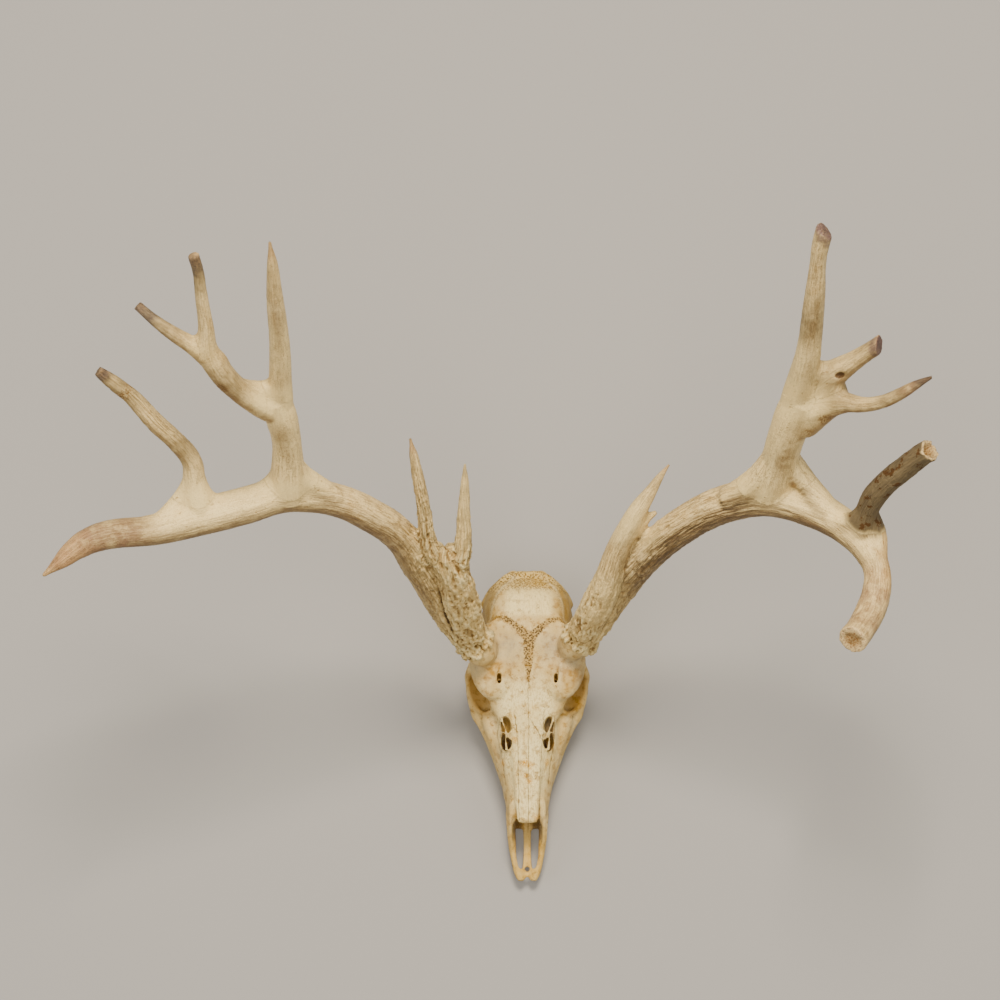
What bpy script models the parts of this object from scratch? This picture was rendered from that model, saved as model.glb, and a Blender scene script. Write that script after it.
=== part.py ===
"""Mule deer buck skull with both antlers, resting on its cheek teeth.

The nose points to -Y, the top of the head is up and the animal's left is +X. Lengths below are in millimetres
and are turned into metres where a mesh is made. Z = 0 is the plane of the worn tooth crowns.
"""
import math

import bmesh
import bpy
from mathutils import Matrix, Vector

MM = 0.001

# Driving dimensions
ORBIT_RADIUS = 21.0
RIM_THICKNESS = 3.0
TOOTH_CROWN_TOP = 16.5
TOOTH_ROW_START_Y = -54.0
TOOTH_SIDES = 12
JOINT_GAP = 0.3
SKULL_VOXEL = 1.7
SKULL_FACES = 2850
RING_STEP = 15.0
RING_SIDES = 10
SLENDER_SIDES = 8
SLENDER_RADIUS = 12.5
BURR_HEIGHT = 7.0
BURR_FLARE = 0.17
BURR_KNOBS = 0.07
GNARLED_LENGTH = 70.0
BROW_RIDGE = 0.06
TOOTH_FOLD = 0.9

RIGHT = -1
LEFT = 1

# Antler routes: centre point x, y, z and radius, from the parent branch's middle out to the tip
ROUTES = {
    "right_antler_beam": [
        (-48, 56, 126, 17.7), (-61, 67, 144, 16.7), (-80, 84, 185, 15.6), (-100, 103, 240, 15.4),
        (-118, 119, 283, 15.2), (-141, 126, 316, 15), (-166, 131, 340, 14.5), (-194, 131, 358, 14.8),
        (-217, 128, 367, 15.7), (-247, 117, 374, 16.5), (-285, 105, 378, 16), (-328, 92, 382, 13.4),
        (-359, 87, 388, 12.9), (-376, 81, 392, 12), (-389, 72, 396, 10.3), (-402, 59, 400, 6.8),
        (-416, 45, 404, 1.6)],
    "right_brow_stem": [
        (-54, 62, 146, 15.6), (-62, 80, 200, 16.8), (-68, 96, 242, 14.8), (-73, 107, 262, 12)],
    "right_brow_long": [
        (-74, 98, 250, 10.8), (-88, 111, 270, 8.1), (-93, 132, 302, 6.2), (-98, 155, 326, 5.3),
        (-102, 173, 342, 4), (-105, 186, 352, 1.3)],
    "right_brow_short": [
        (-67, 95, 246, 10.8), (-60, 110, 266, 8.5), (-58, 134, 292, 5.8), (-57, 159, 314, 3.6),
        (-57, 171, 324, 1.3)],
    "right_antler_fork_stem": [
        (-212, 128, 366, 17), (-210, 139, 385, 16), (-209, 150, 404, 13.8), (-209, 161, 428, 12.6),
        (-212, 172, 454, 13.8), (-216, 182, 474, 12.6)],
    "right_antler_fork_inner_tine": [
        (-213, 178, 464, 12.2), (-210.5, 191, 494, 9.9), (-209, 210, 536, 8.7), (-210, 231, 590, 6.9),
        (-210, 247, 624, 4.2), (-211, 257, 644, 1.3)],
    "right_antler_fork_outer_tine": [
        (-220, 176, 464, 12.8), (-232, 178, 478, 11.6), (-244, 181, 494, 10.2), (-258, 189, 518, 10.4),
        (-268, 201, 540, 9.9), (-268, 214, 562, 6.6), (-270, 232, 590, 5.3), (-271, 244, 610, 4.6),
        (-274, 253, 624, 4.4)],
    "right_antler_fork_low_tine": [
        (-265, 197, 532, 9.4), (-280, 203, 546, 7.9), (-294, 209, 556, 6.3), (-310, 218, 566, 4.9),
        (-324, 229, 572, 3.7)],
    "right_antler_rear_tine": [
        (-285, 109, 380, 15), (-287, 121, 393, 13), (-289, 132, 404, 10.2), (-290, 143, 416, 9),
        (-302, 155, 436, 8.5),
        (-320, 167, 458, 8.1), (-337, 182, 476, 7.2), (-354, 192, 490, 6.1), (-364, 198, 497, 4.2)],
    "left_antler_beam": [
        (48, 63, 126, 17.7), (61, 73, 146, 16.7), (83, 93, 192, 15.6), (102, 106, 236, 15.8),
        (120, 116, 270, 16.1), (139, 123, 298, 16.5), (159, 129, 320, 16.8), (181, 132, 338, 17.1),
        (202, 132, 350, 17.1), (222, 127, 358, 16.6), (243, 118, 364, 16.1), (263, 107, 368, 15.6),
        (281, 92, 370, 14.7)],
    "left_antler_beam_end": [
        (263, 107, 368, 14.6), (281, 92, 370, 14), (293, 77, 370, 13), (300, 60, 368, 11.7),
        (299, 41, 368, 12.9), (292, 21, 374, 13.3), (283, 4, 384, 12.7), (272, -12, 396, 13.2)],
    "left_brow_main": [
        (52, 65, 142, 14.9), (60, 74, 178, 14.7), (66, 82, 200, 14.2), (74, 97, 228, 12.2),
        (81, 113, 254, 10.5), (91, 128, 280, 9.8), (99, 139, 296, 8.5), (108, 150, 308, 6.2),
        (116, 160, 320, 3.5), (124, 169, 328, 1.3)],
    "left_brow_spur": [(92, 124, 275, 7.2), (105, 133, 284, 5.4), (114, 137, 288, 2)],
    "left_antler_fork_stem": [
        (209, 131, 352, 19), (212, 141, 374, 18.6), (216, 152, 400, 16.4), (219, 161, 426, 16),
        (225, 174, 454, 17.2), (231, 183, 474, 16)],
    "left_antler_fork_upright_tine": [
        (227, 181, 466, 15.6), (229, 193, 496, 13), (231.5, 208, 530, 10.3), (232, 222, 558, 9.5),
        (232, 235, 590, 8.4), (232, 248, 616, 6.9), (233, 258, 634, 7.5), (236, 267, 650, 7.6)],
    "left_antler_fork_middle_tine": [
        (235, 183, 470, 14), (245, 190, 486, 13.4), (256, 195, 502, 11.7), (267, 199, 514, 9),
        (278, 203, 526, 7.7), (292, 208, 540, 7.6)],
    "left_antler_fork_outer_tine": [
        (231, 174, 458, 14), (246, 174, 474, 12.6), (264, 172, 490, 9), (277, 167, 500, 6.7),
        (291, 165, 512, 5.8), (306, 168, 524, 5.2), (319, 173, 534, 3.8), (331, 177, 542, 1.3)],
    "left_antler_dark_tine": [
        (286, 92, 372, 13.8), (288, 99, 386, 11.8), (290, 105, 398, 10.1), (294, 112, 414, 10.3),
        (304, 120, 434, 10.4),
        (318, 127, 454, 10.2), (329, 132, 470, 9.9), (336, 134, 479, 9.7)],
}

# Each split branch, the branches that it is cut back from, and how strong its ridges are
BRANCHES = {
    "right_antler_beam": ([], 0.045),
    "right_antler_fork_stem": (["right_antler_beam"], 0.02),
    "right_antler_fork_inner_tine": (["right_antler_fork_stem"], 0.01),
    "right_antler_fork_outer_tine": (["right_antler_fork_stem", "right_antler_fork_inner_tine"], 0.01),
    "right_antler_fork_low_tine": (["right_antler_fork_outer_tine"], 0.01),
    "right_antler_rear_tine": (["right_antler_beam"], 0.03),
    "left_antler_beam": ([], 0.045),
    "left_antler_beam_end": (["left_antler_beam"], 0.04),
    "left_antler_fork_stem": (["left_antler_beam"], 0.02),
    "left_antler_fork_upright_tine": (["left_antler_fork_stem"], 0.01),
    "left_antler_fork_middle_tine": (["left_antler_fork_stem", "left_antler_fork_upright_tine"], 0.01),
    "left_antler_fork_outer_tine": (
        ["left_antler_fork_stem", "left_antler_fork_upright_tine", "left_antler_fork_middle_tine"], 0.01),
    "left_antler_dark_tine": (["left_antler_beam", "left_antler_beam_end"], 0.02),
}

# Upper cheek teeth from front to back: name, length along the row, width, distance from the midline
TEETH = [
    ("premolar_2", 10.0, 8.5, 18.5),
    ("premolar_3", 11.5, 10.5, 20.0),
    ("premolar_4", 11.0, 12.0, 22.0),
    ("molar_1", 14.5, 13.5, 24.5),
    ("molar_2", 16.5, 14.5, 27.0),
    ("molar_3", 17.0, 14.0, 28.5),
]


def clear_scene():
    for obj in list(bpy.data.objects):
        bpy.data.objects.remove(obj, do_unlink=True)


def make_material(name, colour, roughness):
    material = bpy.data.materials.new(name)
    material.use_nodes = True
    shader = material.node_tree.nodes["Principled BSDF"]
    shader.inputs["Base Color"].default_value = (*colour, 1.0)
    shader.inputs["Roughness"].default_value = roughness
    shader.inputs["Metallic"].default_value = 0.0
    material.diffuse_color = (*colour, 1.0)
    return material


def add_object(name, bm, material=None):
    """Turn a bmesh in millimetres into a named object in metres."""
    bmesh.ops.scale(bm, vec=(MM, MM, MM), verts=bm.verts)
    bmesh.ops.recalc_face_normals(bm, faces=bm.faces)
    mesh = bpy.data.meshes.new(name)
    bm.to_mesh(mesh)
    bm.free()
    obj = bpy.data.objects.new(name, mesh)
    bpy.context.scene.collection.objects.link(obj)
    if material:
        mesh.materials.append(material)
    return obj


def bake(obj):
    """Put the modified shape into the object's own mesh."""
    depsgraph = bpy.context.evaluated_depsgraph_get()
    mesh = bpy.data.meshes.new_from_object(obj.evaluated_get(depsgraph))
    old = obj.data
    obj.modifiers.clear()
    obj.data = mesh
    bpy.data.meshes.remove(old)


def boolean(obj, others, operation):
    """Union with or cut away the other objects, then remove them."""
    for other in others:
        modifier = obj.modifiers.new(operation.title(), "BOOLEAN")
        modifier.operation = operation
        modifier.solver = "EXACT"
        modifier.object = other
        bake(obj)
        bpy.data.objects.remove(other, do_unlink=True)


def catmull(p0, p1, p2, p3, t):
    return 0.5 * (2 * p1 + (p2 - p0) * t + (2 * p0 - 5 * p1 + 4 * p2 - p3) * t * t
                  + (3 * p1 - p0 - 3 * p2 + p3) * t ** 3)


def smooth_route(route, step):
    """Points with radius at an even step along a smooth curve through the route's own points."""
    points = [Vector(p) for p in route]
    points = [2 * points[0] - points[1]] + points + [2 * points[-1] - points[-2]]
    samples = []
    for i in range(1, len(points) - 2):
        length = (points[i + 1].xyz - points[i].xyz).length
        count = max(1, round(length / step))
        for k in range(count):
            samples.append(catmull(*points[i - 1:i + 3], k / count))
    samples.append(points[-2])
    return samples


def grown_tube(bm, samples, sides, ridge=0.0, burr=False, grow=0.0, squash=1.0):
    """A closed tube of rings around the samples, with lengthwise ridges and, at a burr, a knobbed flare."""
    rings = []
    side = Vector((0, 0, 1)).cross(samples[1].xyz - samples[0].xyz).normalized()
    length = 0.0
    for i, sample in enumerate(samples):
        before = samples[max(i - 1, 0)].xyz
        after = samples[min(i + 1, len(samples) - 1)].xyz
        along = (after - before).normalized()
        side = (side - along * side.dot(along)).normalized()
        up = along.cross(side)
        if i:
            length += (sample.xyz - samples[i - 1].xyz).length
        radius = sample.w
        ring = []
        for k in range(sides):
            angle = 2 * math.pi * k / sides
            relief = ridge * math.sin(5 * angle + 0.02 * length)
            relief += 0.5 * ridge * math.sin(3 * angle + 0.11 * length)
            if burr:
                flare = math.exp(-(length / BURR_HEIGHT) ** 2)
                relief += flare * (BURR_FLARE + BURR_KNOBS * math.cos(6 * angle))
                relief += ridge * math.exp(-length / GNARLED_LENGTH) * math.sin(4 * angle + 0.31 * length)
            reach = radius * (1 + relief) + grow
            across = side * math.cos(angle) * reach
            ring.append(bm.verts.new(sample.xyz + across + up * math.sin(angle) * reach * squash))
        rings.append(ring)
    for low, high in zip(rings, rings[1:]):
        for k in range(sides):
            bm.faces.new((low[k], low[(k + 1) % sides], high[(k + 1) % sides], high[k]))
    bm.faces.new(list(reversed(rings[0])))
    bm.faces.new(rings[-1])


def branch_object(name, material=None, ridge=0.0, grow=0.0):
    bm = bmesh.new()
    route = smooth_route(ROUTES[name], RING_STEP)
    if grow:
        start = (route[0].xyz - route[1].xyz).normalized() * grow
        end = (route[-1].xyz - route[-2].xyz).normalized() * grow
        route[0] = Vector((*(route[0].xyz + start), route[0].w))
        route[-1] = Vector((*(route[-1].xyz + end), route[-1].w))
    slender = max(point[3] for point in ROUTES[name]) < SLENDER_RADIUS
    grown_tube(bm, route, SLENDER_SIDES if slender else RING_SIDES, ridge, name.endswith("_beam"), grow)
    bmesh.ops.triangulate(bm, faces=bm.faces)
    return add_object(name, bm, material)


def grown_copy(name):
    """A hidden copy of a branch, thicker by the joint gap, that cuts its neighbours back."""
    ridge = BRANCHES[name][1]
    obj = branch_object(name, ridge=ridge, grow=JOINT_GAP)
    obj.name = "cutter"
    obj.hide_render = True
    obj.display_type = "WIRE"
    return obj


def build_antlers(material):
    for name, (parents, ridge) in BRANCHES.items():
        obj = branch_object(name, material, ridge)
        boolean(obj, [grown_copy(parent) for parent in parents], "DIFFERENCE")
        keep_largest_body(obj)
    build_brow_tines("right_antler_brow_tines", ["right_brow_stem", "right_brow_long", "right_brow_short"],
                     "right_antler_beam", material)
    build_brow_tines("left_antler_brow_tine", ["left_brow_main", "left_brow_spur"],
                     "left_antler_beam", material)


def build_brow_tines(name, routes, beam, material):
    """The gnarled stem at the base with its tines, grown together and cut back from the main beam."""
    shapes = [branch_object(route, material, BROW_RIDGE) for route in routes]
    boolean(shapes[0], shapes[1:], "UNION")
    boolean(shapes[0], [grown_copy(beam)], "DIFFERENCE")
    shapes[0].name = name
    keep_largest_body(shapes[0])


def keep_largest_body(obj):
    """Drop loose crumbs that a cut may leave."""
    bm = bmesh.new()
    bm.from_mesh(obj.data)
    bm.verts.ensure_lookup_table()
    seen = set()
    bodies = []
    for vert in bm.verts:
        if vert in seen:
            continue
        body = [vert]
        seen.add(vert)
        for member in body:
            for edge in member.link_edges:
                other = edge.other_vert(member)
                if other not in seen:
                    seen.add(other)
                    body.append(other)
        bodies.append(body)
    largest = max(bodies, key=len)
    crumbs = [vert for body in bodies if body is not largest for vert in body]
    bmesh.ops.delete(bm, geom=crumbs, context="VERTS")
    bm.to_mesh(obj.data)
    bm.free()


def loft(bm, stations, power=2.3, sides=24):
    """A closed body through cross-sections: y, half width, top, bottom and the height of the widest point."""
    rings = []
    for y, half_width, top, bottom, wide in stations:
        ring = []
        for k in range(sides):
            angle = 2 * math.pi * k / sides
            c = math.cos(angle)
            s = math.sin(angle)
            x = half_width * math.copysign(abs(c) ** (2 / power), c)
            reach = (top - wide) if s > 0 else (wide - bottom)
            z = wide + reach * math.copysign(abs(s) ** (2 / power), s)
            ring.append(bm.verts.new((x, y, z)))
        rings.append(ring)
    for low, high in zip(rings, rings[1:]):
        for k in range(sides):
            bm.faces.new((low[k], low[(k + 1) % sides], high[(k + 1) % sides], high[k]))
    bm.faces.new(list(reversed(rings[0])))
    bm.faces.new(rings[-1])


def ellipsoid(bm, centre, radii, turn=None):
    matrix = Matrix.Translation(centre) @ (turn or Matrix.Identity(4)) @ Matrix.Diagonal((*radii, 1.0))
    bmesh.ops.create_uvsphere(bm, u_segments=24, v_segments=14, radius=1.0, matrix=matrix)


def tube(bm, points, squash=1.0, step=4.0):
    grown_tube(bm, smooth_route(points, step), 14, squash=squash)


def mirrored(side, points):
    return [(side * p[0], *p[1:]) for p in points]


def skull_mass(bm):
    """The solid bones, one over the other, before the hollows are cut."""
    # Snout, face and brain case
    loft(bm, [
        (-95, 14, 50, 19, 30), (-84, 18.8, 58, 15, 30), (-64, 22.6, 66, 14, 32), (-44, 27, 73.5, 14, 34),
        (-24, 32, 81, 14, 36), (-4, 34, 88, 16, 38), (16, 34, 95, 20, 42), (36, 34, 101.5, 24, 50),
        (56, 36, 108, 27, 60), (74, 38.5, 112, 29, 68), (90, 41, 113, 29, 70), (106, 42, 110, 29, 68),
        (118, 39, 102.5, 29, 64), (128, 34, 93, 30, 60), (137, 24, 80, 33, 56), (142, 15, 68, 38, 52)])
    # Forehead shelf over the eye sockets
    loft(bm, [
        (-14, 23, 84, 66, 75), (-2, 29, 88.5, 66, 76), (10, 36, 93.5, 66, 78), (22, 44, 98, 68, 81),
        (34, 50.5, 102.5, 70, 84), (45, 53.5, 106.5, 74, 86), (58, 50, 110, 82, 90), (74, 42, 112.5, 90, 98),
        (92, 30, 111, 95, 103), (106, 18, 106, 98, 102)], 2.6)
    # Swell of the forehead below each antler
    for side in (RIGHT, LEFT):
        ellipsoid(bm, (side * 31, 50, 92), (24, 38, 17))
    # Nasal bones
    loft(bm, [
        (-98, 9.6, 60.5, 55, 57.5), (-86, 11, 64, 56, 60), (-62, 13, 70.5, 60, 65), (-32, 15.5, 80, 66, 73),
        (-4, 19, 90, 74, 82), (20, 17, 97.5, 84, 90)], 2.2)
    for side in (RIGHT, LEFT):
        cheek_and_orbit(bm, side)
        premaxilla(bm, side)
        skull_base(bm, side)
        crown_and_pedicle(bm, side)


def cheek_and_orbit(bm, side):
    rim = orbit_frame(side)
    segments = 28
    ring = []
    for k in range(segments + 1):
        angle = 2 * math.pi * k / segments
        point = rim @ Vector((math.cos(angle) * ORBIT_RADIUS, math.sin(angle) * ORBIT_RADIUS, 0))
        ring.append(Vector((*point, RIM_THICKNESS)))
    grown_tube(bm, ring, 10)
    # Cheek wall in front of the socket
    tube(bm, mirrored(side, [
        (11, -58, 42, 11), (15, -40, 44, 13.5), (20.5, -22, 47, 14), (27.5, -6, 51, 13.5),
        (34, 7, 54, 12)]), 1.25)
    # Cheek arch
    tube(bm, mirrored(side, [
        (18, -54, 27, 7), (22.5, -38, 29, 8), (28.5, -20, 33, 8.5), (36.5, -4, 38, 8), (45, 10, 43, 7),
        (51, 24, 48, 6.2), (53.6, 38, 52, 5), (52.5, 54, 55, 4.4), (48, 70, 57, 4.6), (40, 84, 57, 6)]), 0.8)
    # Floor of the socket
    ellipsoid(bm, (side * 42, 20, 42), (13, 22, 8))
    # Bar behind the socket
    tube(bm, mirrored(side, [(43, 52, 92, 7), (51, 48, 81, 4.8), (55, 43, 69, 4.2), (54.5, 40, 54, 5)]))


def orbit_frame(side):
    """The socket rim's plane: it faces outward, forward and up."""
    outward = Vector((side * 0.80, -0.36, 0.46)).normalized()
    turn = outward.to_track_quat("Z", "Y").to_matrix().to_4x4()
    return Matrix.Translation((side * 43.0, 25.0, 69.0)) @ turn


def premaxilla(bm, side):
    tube(bm, mirrored(side, [
        (14, -80, 26, 6.5), (14.6, -96, 24, 5.2), (13.8, -110, 21.5, 4.6), (11.6, -124, 18.5, 4.2),
        (8.4, -137, 16, 4.4), (5.2, -145, 14, 3.6)]), 1.0, 3.0)
    # Thin edge that rises beside the nose opening
    tube(bm, mirrored(side, [
        (13, -118, 22, 2.6), (14.6, -108, 31, 2.8), (15.4, -98, 41, 3), (14.6, -86, 50, 3.4),
        (13, -76, 56, 4)]), 1.0, 3.0)
    # Prong of the palate between the slots
    tube(bm, mirrored(side, [
        (2.6, -84, 19, 2.6), (1.8, -100, 17.5, 2), (1.7, -118, 16, 1.9), (2.4, -132, 14.5, 2.4)]), 1.0, 3.0)
    ellipsoid(bm, (side * 5.8, -138.5, 14.5), (5.0, 8, 3.4))


def skull_base(bm, side):
    # Bone that holds the cheek teeth
    tube(bm, mirrored(side, [
        (16, -68, 22, 6), (17.8, -50, 22, 7.4), (21.5, -30, 22.5, 9), (25, -10, 23, 10), (28, 10, 24, 10),
        (29, 26, 25, 8.5), (26, 36, 28, 6)]), 0.9)
    # Wing bones behind the palate
    tube(bm, mirrored(side, [(15, 34, 24, 4.5), (13, 46, 23, 3.6), (12, 58, 23, 3.4), (13, 70, 28, 5)]), 2.0)
    # Hearing capsule
    ellipsoid(bm, (side * 21, 104, 28), (8, 13, 9.5))
    # Process beside the condyle, one of the feet that the skull rests on
    tube(bm, mirrored(side, [(28, 122, 48, 9), (28.5, 125, 32, 7), (28.5, 126, 16, 4.8), (28, 125, -3, 3.2)]))
    # Condyle
    ellipsoid(bm, (side * 13, 144, 39), (8.5, 9, 11.5))
    # Root of the cheek arch and ear opening
    ellipsoid(bm, (side * 34, 96, 58), (10, 22, 12))


def crown_and_pedicle(bm, side):
    # Nape crest
    tube(bm, mirrored(side, [
        (-2, 135.5, 85, 4), (8, 136, 85, 4), (17.5, 134.5, 83.5, 4), (26, 129, 78, 4.2), (34.5, 121, 69, 5),
        (40, 110, 61, 5.5)]), 1.0, 3.0)
    name = "left_antler_beam" if side == LEFT else "right_antler_beam"
    foot = Vector(ROUTES[name][0][:3])
    axis = (Vector(ROUTES[name][1][:3]) - foot).normalized()
    tube(bm, [(side * 30, 66, 88, 16), (side * 40.5, 61, 104, 15), (*(foot - axis * 8), 14.4),
              (*(foot + axis * 3), 15.2)])


def skull_hollows():
    """Cutters for the sockets, nose, mouth roof, temples and brain opening."""
    cutters = []

    def cutter(build):
        bm = bmesh.new()
        build(bm)
        obj = add_object("cutter", bm)
        obj.hide_render = True
        obj.display_type = "WIRE"
        cutters.append(obj)

    for side in (RIGHT, LEFT):
        rim = orbit_frame(side)
        turn = rim.to_quaternion().to_matrix().to_4x4()
        centre = rim @ Vector((0, 0, -4))
        reach = ORBIT_RADIUS - RIM_THICKNESS + 1
        cutter(lambda bm: ellipsoid(bm, centre, (reach, reach, 25), turn))
        # Temple between the brain case and the cheek arch
        cutter(lambda bm: ellipsoid(bm, (side * 47, 66, 66), (12, 17, 21)))
        cutter(lambda bm: ellipsoid(bm, (side * 37, 56, 36), (14, 22, 12)))
        # Hollow in front of the socket, between snout and forehead
        cutter(lambda bm: ellipsoid(bm, (side * 21, -18, 80), (6.3, 16, 9)))
        # Slot through the front of the palate
        cutter(lambda bm: tube(bm, mirrored(side, [
            (6.8, -90, 22, 3.2), (6.7, -114, 17, 3.4), (5.6, -132, 14, 2.1)]), 3.0))
        # Foramen above the eye
        cutter(lambda bm: tube(bm, mirrored(side, [(26, 26, 108, 2.2), (26, 29, 92, 2.2)])))
    # Nose opening
    cutter(lambda bm: loft(bm, [
        (-140, 9, 50, 20, 34), (-112, 10, 56, 20.5, 36), (-96, 11, 54, 21, 36), (-84, 12, 54.5, 22, 38),
        (-60, 13, 58, 24, 40), (-40, 12, 60, 28, 44)], 2.2))
    # Mouth roof between the tooth rows
    cutter(lambda bm: loft(bm, [
        (-80, 7, 17, 4, 8), (-55, 9.5, 18, 4, 8), (-20, 13, 19.5, 4, 8), (10, 16, 20, 4, 8),
        (32, 14, 20, 4, 8)]))
    # Throat end of the nasal passage
    cutter(lambda bm: tube(bm, [(0, 26, 34, 5.5), (0, 42, 27, 9), (0, 60, 15, 10)]))
    # Brain opening, which a wall hook goes into
    cutter(lambda bm: tube(bm, [(0, 118, 50, 8.5), (0, 134, 48, 10.2), (0, 156, 44, 10.8)]))
    return cutters


def remesh(obj, voxel, smooth_rounds):
    modifier = obj.modifiers.new("Remesh", "REMESH")
    modifier.mode = "VOXEL"
    modifier.voxel_size = voxel * MM
    modifier = obj.modifiers.new("Smooth", "SMOOTH")
    modifier.iterations = smooth_rounds
    modifier.factor = 0.5
    bake(obj)


def build_skull(material):
    bm = bmesh.new()
    skull_mass(bm)
    skull = add_object("skull", bm, material)
    remesh(skull, SKULL_VOXEL, 3)
    boolean(skull, skull_hollows(), "DIFFERENCE")
    remesh(skull, SKULL_VOXEL, 2)
    triangles = sum(len(face.vertices) - 2 for face in skull.data.polygons)
    modifier = skull.modifiers.new("Decimate", "DECIMATE")
    modifier.ratio = SKULL_FACES / triangles
    bake(skull)
    keep_largest_body(skull)
    beams = [grown_copy("right_antler_beam"), grown_copy("left_antler_beam")]
    sockets = []
    for side in (RIGHT, LEFT):
        sockets += [tooth_object("socket", side, index, JOINT_GAP) for index in range(len(TEETH))]
    boolean(skull, beams + sockets + [table_cutter()], "DIFFERENCE")
    keep_largest_body(skull)
    return skull


def table_cutter():
    """Levels the tips that the skull rests on."""
    bm = bmesh.new()
    matrix = Matrix.Translation((0, 0, -50)) @ Matrix.Diagonal((400, 400, 100, 1))
    bmesh.ops.create_cube(bm, size=1.0, matrix=matrix)
    obj = add_object("cutter", bm)
    obj.hide_render = True
    obj.display_type = "WIRE"
    return obj


def tooth_object(name, side, index, grow=0.0, material=None):
    """A worn crown: a rounded block, flat below, with a shallow fold down its outer face."""
    length, width, offset = TEETH[index][1:]
    start = TOOTH_ROW_START_Y + sum(tooth[1] for tooth in TEETH[:index])
    half_length = length / 2 - JOINT_GAP / 2 + grow
    half_width = width / 2 + grow
    bm = bmesh.new()
    rings = []
    for z, scale in ((0.0 - grow, 0.9), (5.0, 1.0), (TOOTH_CROWN_TOP + grow, 0.94)):
        ring = []
        for k in range(TOOTH_SIDES):
            angle = 2 * math.pi * k / TOOTH_SIDES
            c = math.cos(angle)
            s = math.sin(angle)
            along = math.copysign(abs(s) ** 0.5, s) * half_length
            across = math.copysign(abs(c) ** 0.5, c) * half_width
            if c > 0.3:
                across -= TOOTH_FOLD * math.exp(-(along / 2.0) ** 2)
            ring.append(bm.verts.new((side * (offset + across * scale), start + length / 2 + along, z)))
        rings.append(ring)
    for low, high in zip(rings, rings[1:]):
        for k in range(TOOTH_SIDES):
            bm.faces.new((low[k], low[(k + 1) % TOOTH_SIDES], high[(k + 1) % TOOTH_SIDES], high[k]))
    bm.faces.new(list(reversed(rings[0])))
    bm.faces.new(rings[-1])
    return add_object(name, bm, material)


def build_teeth(material):
    for side, prefix in ((RIGHT, "right_"), (LEFT, "left_")):
        for index, tooth in enumerate(TEETH):
            tooth_object(prefix + tooth[0], side, index, 0.0, material)


def stand_at_origin():
    """Hang every solid on one empty, so that the box around the part is centred over the origin."""
    solids = [obj for obj in bpy.data.objects if obj.type == "MESH"]
    corners = [obj.matrix_world @ vert.co for obj in solids for vert in obj.data.vertices]
    low = [min(corner[axis] for corner in corners) for axis in range(3)]
    high = [max(corner[axis] for corner in corners) for axis in range(3)]
    empty = bpy.data.objects.new("skull_frame", None)
    bpy.context.scene.collection.objects.link(empty)
    empty.location = (-(low[0] + high[0]) / 2, -(low[1] + high[1]) / 2, -low[2])
    for obj in solids:
        obj.parent = empty


def main():
    clear_scene()
    bone = make_material("bone", (0.72, 0.62, 0.44), 0.6)
    antler = make_material("antler", (0.58, 0.42, 0.22), 0.55)
    enamel = make_material("tooth_enamel", (0.70, 0.62, 0.46), 0.35)
    build_skull(bone)
    build_teeth(enamel)
    build_antlers(antler)
    stand_at_origin()


main()
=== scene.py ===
import math
import bpy
import numpy as np
from mathutils import Matrix, Vector, noise


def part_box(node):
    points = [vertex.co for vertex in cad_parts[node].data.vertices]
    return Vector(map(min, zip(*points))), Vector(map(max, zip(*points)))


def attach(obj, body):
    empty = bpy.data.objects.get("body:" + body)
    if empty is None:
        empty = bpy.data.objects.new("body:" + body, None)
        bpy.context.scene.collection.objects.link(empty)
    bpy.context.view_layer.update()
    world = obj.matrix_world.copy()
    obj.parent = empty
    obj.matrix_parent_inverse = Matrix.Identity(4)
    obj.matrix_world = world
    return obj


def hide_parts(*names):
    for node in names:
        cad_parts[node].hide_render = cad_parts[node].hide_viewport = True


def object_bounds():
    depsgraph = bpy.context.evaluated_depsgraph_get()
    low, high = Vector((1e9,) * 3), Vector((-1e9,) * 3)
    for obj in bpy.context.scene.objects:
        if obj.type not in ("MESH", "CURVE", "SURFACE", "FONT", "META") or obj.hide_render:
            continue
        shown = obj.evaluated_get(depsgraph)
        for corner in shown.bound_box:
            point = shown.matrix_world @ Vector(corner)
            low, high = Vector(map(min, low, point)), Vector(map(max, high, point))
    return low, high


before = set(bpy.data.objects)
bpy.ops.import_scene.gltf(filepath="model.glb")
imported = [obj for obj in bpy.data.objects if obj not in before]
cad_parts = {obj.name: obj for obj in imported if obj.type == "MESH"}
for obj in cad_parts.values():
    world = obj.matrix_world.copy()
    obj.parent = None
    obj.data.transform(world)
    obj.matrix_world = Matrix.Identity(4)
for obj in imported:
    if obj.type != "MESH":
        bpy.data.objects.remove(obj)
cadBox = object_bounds()

# Mule deer buck skull with its antlers. Routes and forms are in millimetres from the middle of the skull,
# nose towards -Y and the worn tooth faces at z = 0, and are turned into metres where a mesh is made.
millimetre = 0.001
rightSide = -1
leftSide = 1

# Where the middle of the skull lies in the frame, read from the first molars
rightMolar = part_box("right_molar_1")
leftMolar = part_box("left_molar_1")
firstMolarY = -14.25
middleX = (rightMolar[0][0] + leftMolar[1][0]) / 2
middleY = (leftMolar[0][1] + leftMolar[1][1]) / 2 - firstMolarY * millimetre
middle = Vector((middleX, middleY, 0.0))


def inFrame(point):
    return Vector(point[:3]) * millimetre + middle


def linear(hexText):
    channels = [int(hexText[i:i + 2], 16) / 255 for i in (1, 3, 5)]
    return [c / 12.92 if c <= 0.04045 else ((c + 0.055) / 1.055) ** 2.4 for c in channels] + [1.0]


def pickNothing():
    if bpy.context.object and bpy.context.object.mode != "OBJECT":
        bpy.ops.object.mode_set(mode="OBJECT")
    bpy.ops.object.select_all(action="DESELECT")


def pick(objects):
    pickNothing()
    for obj in objects:
        obj.select_set(True)
    bpy.context.view_layer.objects.active = objects[0]


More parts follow.
